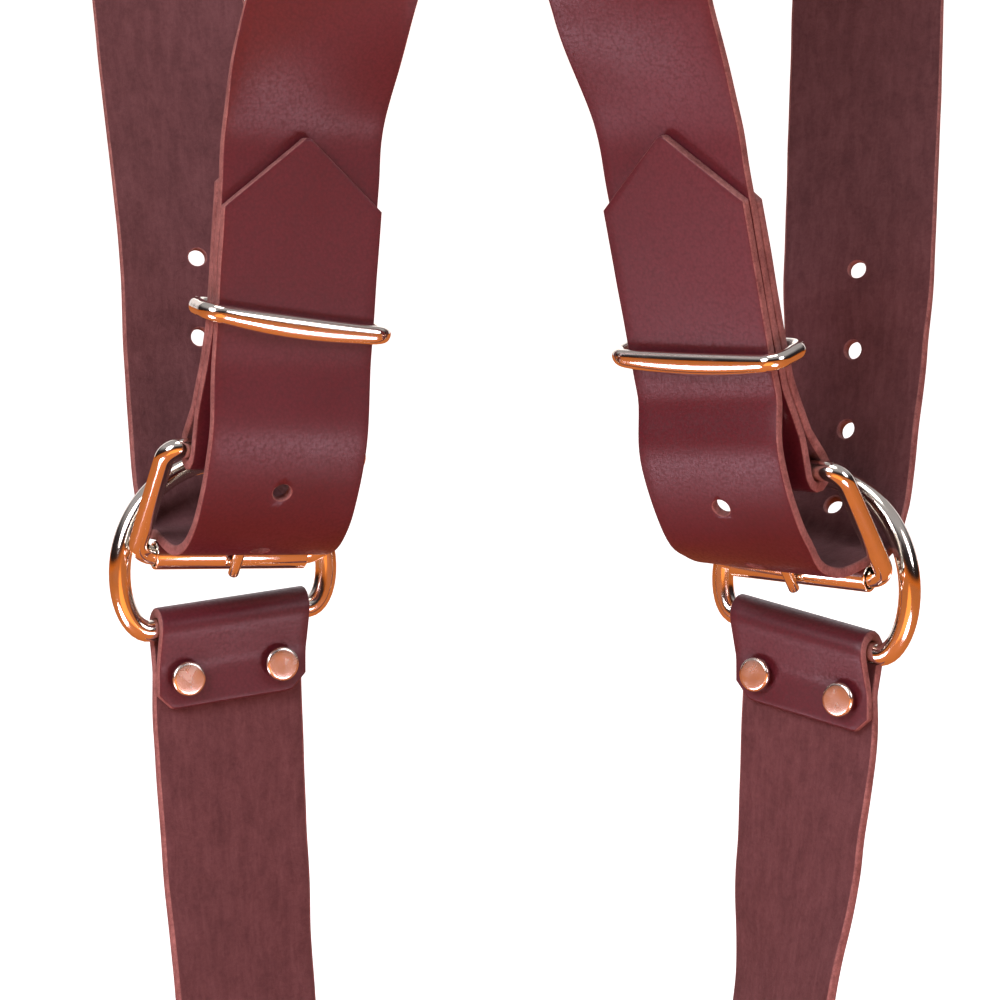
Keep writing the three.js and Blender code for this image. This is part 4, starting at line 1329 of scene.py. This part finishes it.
class HARNESS_OT_rivets(bpy.types.Operator):
    """Turn one double-cap rivet and set a copy of it at each place"""

    bl_idname = "harness.rivets"
    bl_label = "Rivets"

    def execute(self, context):
        s = sizes()
        masters = {}
        for hand in HANDS:
            lay = Layout(hand)
            groups = (
                ("heel_rivet_{}_{}", lay.heel_rivets, "straps"),
                ("yoke_rivet_lower_{}_{}", lay.lower_yoke_rivets, "straps"),
                ("yoke_rivet_upper_{}_{}", lay.upper_yoke_rivets, "straps"),
                ("ring_rivet_{}_{}", lay.ring_rivets, f"lower_{hand}"),
                ("snap_rivet_{}_{}", lay.snap_rivets, f"lower_{hand}"),
            )
            for pattern, places, body in groups:
                for i, (centre, way, grip) in enumerate(places):
                    master = masters.get(round(grip, 3))
                    if master is None:
                        master = masters[round(grip, 3)] = self.turned_rivet(s, grip)
                    side = way.orthogonal().normalized()
                    obj = copied(master, placed(side, way.cross(side), way, centre))
                    node_name = pattern.format(hand, i + 1)
                    use(f"set_{node_name}", obj, finish_named("Worn Nickel"))
                    place_piece(obj, body, "rivets", node_name)
        for master in masters.values():
            bpy.data.objects.remove(master)
        return {"FINISHED"}

    def turned_rivet(self, s, grip):
        seat = grip / 2 + 0.15
        crown, r = seat + s.rivet_height, s.rivet_radius
        cap = [
            (0.02, crown - 0.03), (r * 0.4, crown - 0.015), (r * 0.8, crown), (r * 0.87, crown - 0.04),
            (r * 0.94, crown - 0.16), (r * 0.985, crown - 0.38), (r, crown - 0.62), (r, seat + 0.2),
            (r * 0.97, seat), (1.5, seat),
        ]
        obj = lathe([*cap, *((radius, -z) for radius, z in reversed(cap))], 40)
        return done(put(obj, Matrix.Identity(4)), 35)


class HARNESS_OT_buckles(bpy.types.Operator):
    """Bend the buckle frames and tongues and roll the tubes"""

    bl_idname = "harness.buckles"
    bl_label = "Roller Buckles"

    roller_corner, heel_corner = 5, 3.4
    seam_angle, seam_half_gap = 195, 2.2  # where the roller's seam is, in degrees

    def execute(self, context):
        for hand in HANDS:
            lay = Layout(hand)
            s = lay.s
            width = s.buckle_width + s.buckle_wire
            outline = rounded_rectangle(
                width, -s.buckle_reach, 0, self.roller_corner, self.heel_corner
            )
            bent_frame = wire_loop(outline, s.buckle_wire, s.buckle_wire, 24)
            place_hardware(bent_frame, lay.frame_matrix, hand, "buckle_frame", "buckle")
            place_hardware(self.rolled_tube(lay), lay.roller_matrix, hand, "buckle_roller", "roller")
            points = curve_points(lay.tongue_path, 70)
            wire = s.tongue_wire / 2
            tongue = tube(points, lambda share: wire * (1 - 0.12 * smooth_share((share - 0.75) * 4)))
            place_hardware(tongue, Matrix.Identity(4), hand, "buckle_tongue", "tongue")
        return {"FINISHED"}

    def rolled_tube(self, lay):
        """A tube rolled from sheet, so that a seam runs along it."""
        bore, outer, steps = lay.bar_radius + lay.gap, lay.roller_radius, 44
        turn = 360 - 2 * self.seam_half_gap
        half = lay.s.roller_length / 2
        rows = []
        ends = ((0, 0.22), (0.1, 0.07), (0.3, 0))  # distance in from the end, and how far it is rounded
        stops = [(-half + inward, shrink) for inward, shrink in ends]
        stops += [(half - inward, shrink) for inward, shrink in reversed(ends)]
        for z, shrink in stops:
            row = []
            for radius, order in ((outer - shrink, 1), (bore + shrink * 0.5, -1)):
                for k in range(steps + 1)[::order]:
                    c, s = turned(self.seam_angle + self.seam_half_gap + turn * k / steps)
                    row.append(vec(radius * c, radius * s, z))
            rows.append(row)
        return skin(rows)


class HARNESS_OT_keepers(bpy.types.Operator):
    """Cast the two keepers, with a bowed front bar"""

    bl_idname = "harness.keepers"
    bl_label = "Keepers"

    corner = 3.4

    def execute(self, context):
        for hand in HANDS:
            lay = Layout(hand)
            s = lay.s
            deep = (lay.keeper_depth + s.keeper_wire) / 2
            half = (lay.keeper_width + s.keeper_wire) / 2
            outline = rounded_rectangle(half * 2, -deep, deep, self.corner, self.corner)

            def front_bow(point):
                if point.y > 0:
                    return s.keeper_band * 0.85, 0
                crown = max(1 - (point.x / half) ** 2, 0) * min(-point.y / deep, 1)
                return s.keeper_band * (0.82 + 0.3 * crown), -0.9 * crown

            obj = wire_loop(outline, s.keeper_wire, s.keeper_band, 24, front_bow)
            place_hardware(obj, lay.keeper_matrix, hand, "keeper", "keeper")
        return {"FINISHED"}


class HARNESS_OT_rings(bpy.types.Operator):
    """Bend the two D-rings"""

    bl_idname = "harness.rings"
    bl_label = "D-Rings"

    def execute(self, context):
        for hand in HANDS:
            lay = Layout(hand)
            s = lay.s
            bar, shoulder, half = lay.ring_bar_half, lay.ring_shoulder, (s.ring_width + s.ring_wire) / 2
            outline = straight(Vector((-bar, 0)), Vector((bar, 0)), 14)
            outline += arc((bar, shoulder), (half - bar, shoulder), -90, 0, 10)
            outline += arc((0, shoulder), (half, lay.ring_arc), 0, 180, 44)
            outline += arc((-bar, shoulder), (half - bar, shoulder), 180, 270, 10)
            bent_ring = wire_loop(outline, s.ring_wire, s.ring_wire, 24)
            place_hardware(bent_ring, lay.ring_matrix, hand, "d_ring", "ring")
        return {"FINISHED"}


class HARNESS_OT_snaps(bpy.types.Operator):
    """Build the snap loops, swivel hooks and sprung bolts"""

    bl_idname = "harness.snaps"
    bl_label = "Swivel Snap Hooks"

    loop_height = 13
    corner = 4
    boss_radius = 4.6
    boss_height = 6.4
    post_radius = 2
    hook_half = 8.5
    hook_drop = 35
    barrel_drop = 5.5
    barrel_length = 6.5
    barrel_wall = 1.4
    collar_height = 4
    bolt_radius = 1.6
    bolt_travel = 8

    def execute(self, context):
        upright = placed(vec(1, 0, 0), vec(0, 0, -1), vec(0, 1, 0), vec(0, 0, 0))
        for hand in HANDS:
            lay = Layout(hand)
            for body, make in (("loop", self.loop), ("hook", self.hook), ("bolt", self.bolt)):
                place_hardware(make(lay, upright), lay.snap_matrix, hand, f"snap_{body}", body)
        return {"FINISHED"}

    def levels(self):
        boss_top = -self.loop_height + self.boss_height / 2
        boss_bottom = boss_top - self.boss_height
        collar_top = boss_bottom - Layout.gap
        collar_bottom = collar_top - self.collar_height
        barrel_top = collar_bottom - self.barrel_drop
        return boss_top, boss_bottom, collar_top, collar_bottom, barrel_top, barrel_top - self.barrel_length

    def loop(self, lay, upright):
        top, bottom = self.levels()[:2]
        width = lay.s.strap_width + 2 * lay.gap + 2 * self.corner
        outline = rounded_rectangle(width, -self.loop_height, 0, self.corner, self.corner)
        wire = wire_loop(outline, lay.s.snap_wire, lay.s.snap_wire)
        bore, r = self.post_radius + lay.gap, self.boss_radius
        boss = lathe([
            (bore, bottom + 0.2), (bore + 0.2, bottom), (r - 0.5, bottom), (r - 0.15, bottom + 0.15),
            (r, bottom + 0.5), (r, top - 0.5), (r - 0.15, top - 0.15), (r - 0.5, top), (bore + 0.2, top),
            (bore, top - 0.2), (bore, bottom + 0.2),
        ], 36)
        boss.data.transform(upright)
        # The wire runs into the boss and stops at its wall, so that the bore stays open.
        deselect()
        bpy.ops.mesh.primitive_cylinder_add(
            vertices=36, radius=self.boss_radius - 0.6, depth=self.boss_height + 6
        )
        bore_cut = bpy.context.object
        bore_cut.data.transform(upright)
        bore_cut.data.transform(Matrix.Translation((0, -self.loop_height, 0)))
        apply(wire, "BOOLEAN", object=bore_cut, operation="DIFFERENCE", solver="EXACT")
        bpy.data.objects.remove(bore_cut)
        return joined(wire, boss)

    def hook(self, lay, upright):
        top, bottom, collar_top, collar_bottom, barrel_top, mouth = self.levels()
        seat, post = top + lay.gap, self.post_radius
        turned_post = lathe([
            (0.02, seat + 1.4), (2.7, seat + 1.4), (3.2, seat + 1.2), (3.4, seat + 0.8), (3.4, seat),
            (post, seat), (post, collar_top), (3.9, collar_top), (4.2, collar_top - 0.3),
            (4.2, collar_bottom + 0.3), (3.9, collar_bottom), (0.02, collar_bottom),
        ], 36)
        turned_post.data.transform(upright)
        middle = (barrel_top + mouth) / 2
        half, wire = self.hook_half, lay.s.hook_wire / 2
        lowest = collar_bottom - self.hook_drop
        path = [vec(0, middle, 0), vec(-half * 0.6, middle - 0.5, 0), vec(-half * 0.96, middle - 4, 0)]
        for i in range(7):
            c, s = turned(180 + 30 * i)
            path.append(vec(half * c, lowest + half + half * s, 0))
        path.append(vec(half, mouth - self.bolt_travel - 1, 0))
        bend = tube(curve_points(path, 80), lambda share: wire, 24)
        neck_line = [vec(0, y, 0) for y in (collar_bottom + 1, (collar_bottom + middle) / 2, middle)]
        neck = tube(neck_line, lambda share: wire, 24)
        bar = tube([vec(x, middle, 0) for x in (0, half / 2, half - 2.5)], lambda share: wire - 0.2, 24)
        bore, r = self.bolt_radius + lay.gap, self.bolt_radius + lay.gap + self.barrel_wall
        barrel = lathe([
            (bore, mouth + 0.2), (bore + 0.2, mouth), (r - 0.4, mouth), (r, mouth + 0.4),
            (r, barrel_top - 0.4), (r - 0.4, barrel_top), (bore + 0.2, barrel_top),
            (bore, barrel_top - 0.2), (bore, mouth + 0.2),
        ], 32)
        barrel.data.transform(upright)
        barrel.data.transform(Matrix.Translation((half, 0, 0)))
        return joined(bend, neck, bar, turned_post, barrel)

    def bolt(self, lay, upright):
        *_, barrel_top, mouth = self.levels()
        tip, seat, r = mouth - self.bolt_travel + lay.gap, barrel_top + lay.gap, self.bolt_radius
        obj = lathe([
            (0.02, tip), (r - 0.3, tip), (r, tip + 0.3), (r, seat), (2.5, seat), (2.8, seat + 0.3),
            (2.9, seat + 0.8), (2.6, seat + 1.4), (2.75, seat + 2.0), (2.5, seat + 2.4), (0.02, seat + 2.4),
        ], 28)
        obj.data.transform(upright)
        obj.data.transform(Matrix.Translation((self.hook_half, 0, 0)))
        return obj


class HARNESS_OT_stage(bpy.types.Operator):
    """Set up the pale floor and wall, the soft lights and the camera"""

    bl_idname = "harness.stage"
    bl_label = "Floor, Lights and Camera"

    def execute(self, context):
        stage = context.scene.harness_stage
        self.sweep(stage)
        self.world()
        focus = Vector((0, 0, stage.eye_height))
        self.light("Key", (-0.5, -0.75, 0.05), focus, 0.5, 7.6, (1, 0.92, 1))
        self.light("Fill", (0.7, -0.5, 0.0), focus, 0.4, 2.3, (0.98, 0.9, 1))
        self.light("Top", (0.05, -0.3, 0.5), focus, 0.5, 2.4, (1, 0.98, 1))
        self.light("Low Right", (0.2, -0.27, -0.61), Vector((-0.05, 0, -0.36)), 0.2, 0.85, (1, 0.8, 0.97))
        self.light("Low Left", (-0.27, -0.14, -0.61), Vector((0.06, 0, -0.36)), 0.2, 0.85, (1, 0.8, 0.97))
        self.light("Warm Bounce", (0.0, -0.4, -0.63), focus, 0.5, 0.7, (1, 0.3, 0.05))
        self.light("Rear", (0.0, 0.7, 0.1), focus, 0.9, 1.0, (1, 1, 1))
        data = bpy.data.cameras.new("Harness Camera")
        data.lens = stage.lens
        data.clip_start, data.clip_end = 0.02, 20
        camera = bpy.data.objects.new("Harness Camera", data)
        camera.location = (0, -stage.distance, stage.eye_height)
        camera.rotation_euler = (math.radians(90), 0, 0)
        context.scene.collection.objects.link(camera)
        context.scene.camera = camera
        return {"FINISHED"}

    def sweep(self, stage):
        """A floor that curves up into a wall."""
        deselect()
        reach = 8
        floor_height = -0.64
        bpy.ops.mesh.primitive_plane_add(size=2 * reach, location=(0, 0, 0))
        obj = bpy.context.object
        edit(obj)
        bpy.ops.mesh.select_all(action="DESELECT")
        bpy.ops.object.mode_set(mode="OBJECT")
        for edge in obj.data.edges:
            ends = [obj.data.vertices[i].co.y for i in edge.vertices]
            edge.select = min(ends) > reach * 0.99
        bpy.ops.object.mode_set(mode="EDIT")
        bpy.ops.mesh.select_mode(type="EDGE")
        bpy.ops.mesh.extrude_region_move(TRANSFORM_OT_translate={"value": (0, 0, reach)})
        bpy.ops.object.mode_set(mode="OBJECT")
        apply(obj, "BEVEL", width=2, segments=12, limit_method="ANGLE")
        obj.data.transform(Matrix.Translation((0, 0, floor_height)))
        obj.name = "stage_floor"
        obj.data.materials.append(self.paper("Pale Floor", stage, (0.45, 0.12, 0.02)))
        obj.data.materials.append(self.paper("Pale Wall", stage, (0.8, 0.8, 0.84)))
        for face in obj.data.polygons:
            face.material_index = 1 if face.center.z > 0.5 else 0
        bpy.ops.object.shade_smooth()
        obj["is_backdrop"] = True

    def paper(self, name, stage, bounced):
        """Pale paper to the camera. Bounced is the colour that it has in light and reflections."""
        finish, tree, shader, where = new_finish(name)
        sight = node(tree, "ShaderNodeLightPath")
        tone = tuple(stage.backdrop)
        cloud = noise_node(tree, where.outputs["Object"], 3, 2)
        pale = mixed_colour(tree, cloud, tone, tuple(c * 0.985 for c in tone))
        dim = tuple(c * 0.4 for c in bounced)
        seen = sight.outputs["Is Camera Ray"]
        link(tree, mixed_colour(tree, seen, dim, pale), shader.inputs["Base Color"])
        link(tree, mixed_colour(tree, seen, bounced, (0.95, 0.95, 0.95)), shader.inputs["Emission Color"])
        shader.inputs["Emission Strength"].default_value = 1
        shader.inputs["Roughness"].default_value = 0.9
        return finish

    def world(self):
        """White to the camera, and to reflections a warm floor, a dark band and a pale ceiling."""
        world = bpy.data.worlds.new("Soft Studio")
        world.use_nodes = True
        tree = world.node_tree
        where = node(tree, "ShaderNodeTexCoord")
        parts = node(tree, "ShaderNodeSeparateXYZ")
        link(tree, where.outputs["Generated"], parts.inputs[0])
        ramp = node(tree, "ShaderNodeValToRGB")
        link(tree, mapped(tree, parts.outputs["Z"], -1, 1), ramp.inputs["Fac"])
        bands = (
            (0.3, (0.7, 0.19, 0.03)), (0.5, (0.66, 0.15, 0.02)), (0.54, (0.02, 0.01, 0.008)),
            (0.68, (0.03, 0.025, 0.03)), (0.8, (0.4, 0.38, 0.4)),
        )
        while len(ramp.color_ramp.elements) < len(bands):
            ramp.color_ramp.elements.new(0.5)
        for element, (place, colour) in zip(ramp.color_ramp.elements, bands):
            element.position = place
            element.color = (*colour, 1)
        sight = node(tree, "ShaderNodeLightPath")
        seen = mixed_colour(tree, sight.outputs["Is Camera Ray"], ramp.outputs["Color"], (1, 1, 1))
        back = tree.nodes["Background"]
        link(tree, seen, back.inputs["Color"])
        back.inputs["Strength"].default_value = 1
        bpy.context.scene.world = world
        bpy.context.scene.view_settings.view_transform = "Standard"

    def light(self, name, place, target, size, power, colour):
        data = bpy.data.lights.new(name, "AREA")
        data.shape = "DISK"
        data.size = size
        data.energy = power
        data.color = colour
        obj = bpy.data.objects.new(name, data)
        obj.location = place
        obj.rotation_euler = (Vector(place) - target).to_track_quat("Z", "Y").to_euler()
        obj.visible_camera = False
        bpy.context.scene.collection.objects.link(obj)


OPERATORS = (
    HARNESS_OT_shoulder_straps,
    HARNESS_OT_back_straps,
    HARNESS_OT_lower_straps,
    HARNESS_OT_back_yoke,
    HARNESS_OT_rivets,
    HARNESS_OT_buckles,
    HARNESS_OT_keepers,
    HARNESS_OT_rings,
    HARNESS_OT_snaps,
    HARNESS_OT_stage,
)


class HARNESS_PT_panel(bpy.types.Panel):
    """Sizes, finishes and pieces of the harness"""

    bl_label = "Harness Suspenders"
    bl_space_type = "VIEW_3D"
    bl_region_type = "UI"
    bl_category = "Harness"

    def draw(self, context):
        for name in PROPERTY_NAMES:
            group = getattr(context.scene, name)
            box = self.layout.box()
            for field in group.__annotations__:
                box.prop(group, field)
        for operator in OPERATORS:
            self.layout.operator(operator.bl_idname)


PROPERTY_NAMES = {
    "harness_straps": HarnessStrapSizes,
    "harness_hardware": HarnessHardwareSizes,
    "harness_finishes": HarnessFinishes,
    "harness_stage": HarnessStage,
}


def register():
    for group in PROPERTY_NAMES.values():
        bpy.utils.register_class(group)
    for name, group in PROPERTY_NAMES.items():
        setattr(bpy.types.Scene, name, bpy.props.PointerProperty(type=group))
    for cls in (*OPERATORS, HARNESS_PT_panel):
        bpy.utils.register_class(cls)


def unregister():
    for cls in (HARNESS_PT_panel, *reversed(OPERATORS)):
        bpy.utils.unregister_class(cls)
    for name, group in PROPERTY_NAMES.items():
        delattr(bpy.types.Scene, name)
        bpy.utils.unregister_class(group)


def corners(box):
    return [list(corner) for corner in box]


def main():
    register()
    bpy.ops.harness.shoulder_straps()
    bpy.ops.harness.back_straps()
    bpy.ops.harness.lower_straps()
    bpy.ops.harness.back_yoke()
    bpy.ops.harness.rivets()
    bpy.ops.harness.buckles()
    bpy.ops.harness.keepers()
    bpy.ops.harness.rings()
    bpy.ops.harness.snaps()
    bpy.ops.harness.stage()
    {"cad": corners(CAD_BOX), "visual": corners(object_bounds())}


if __name__ == "__main__":
    main()
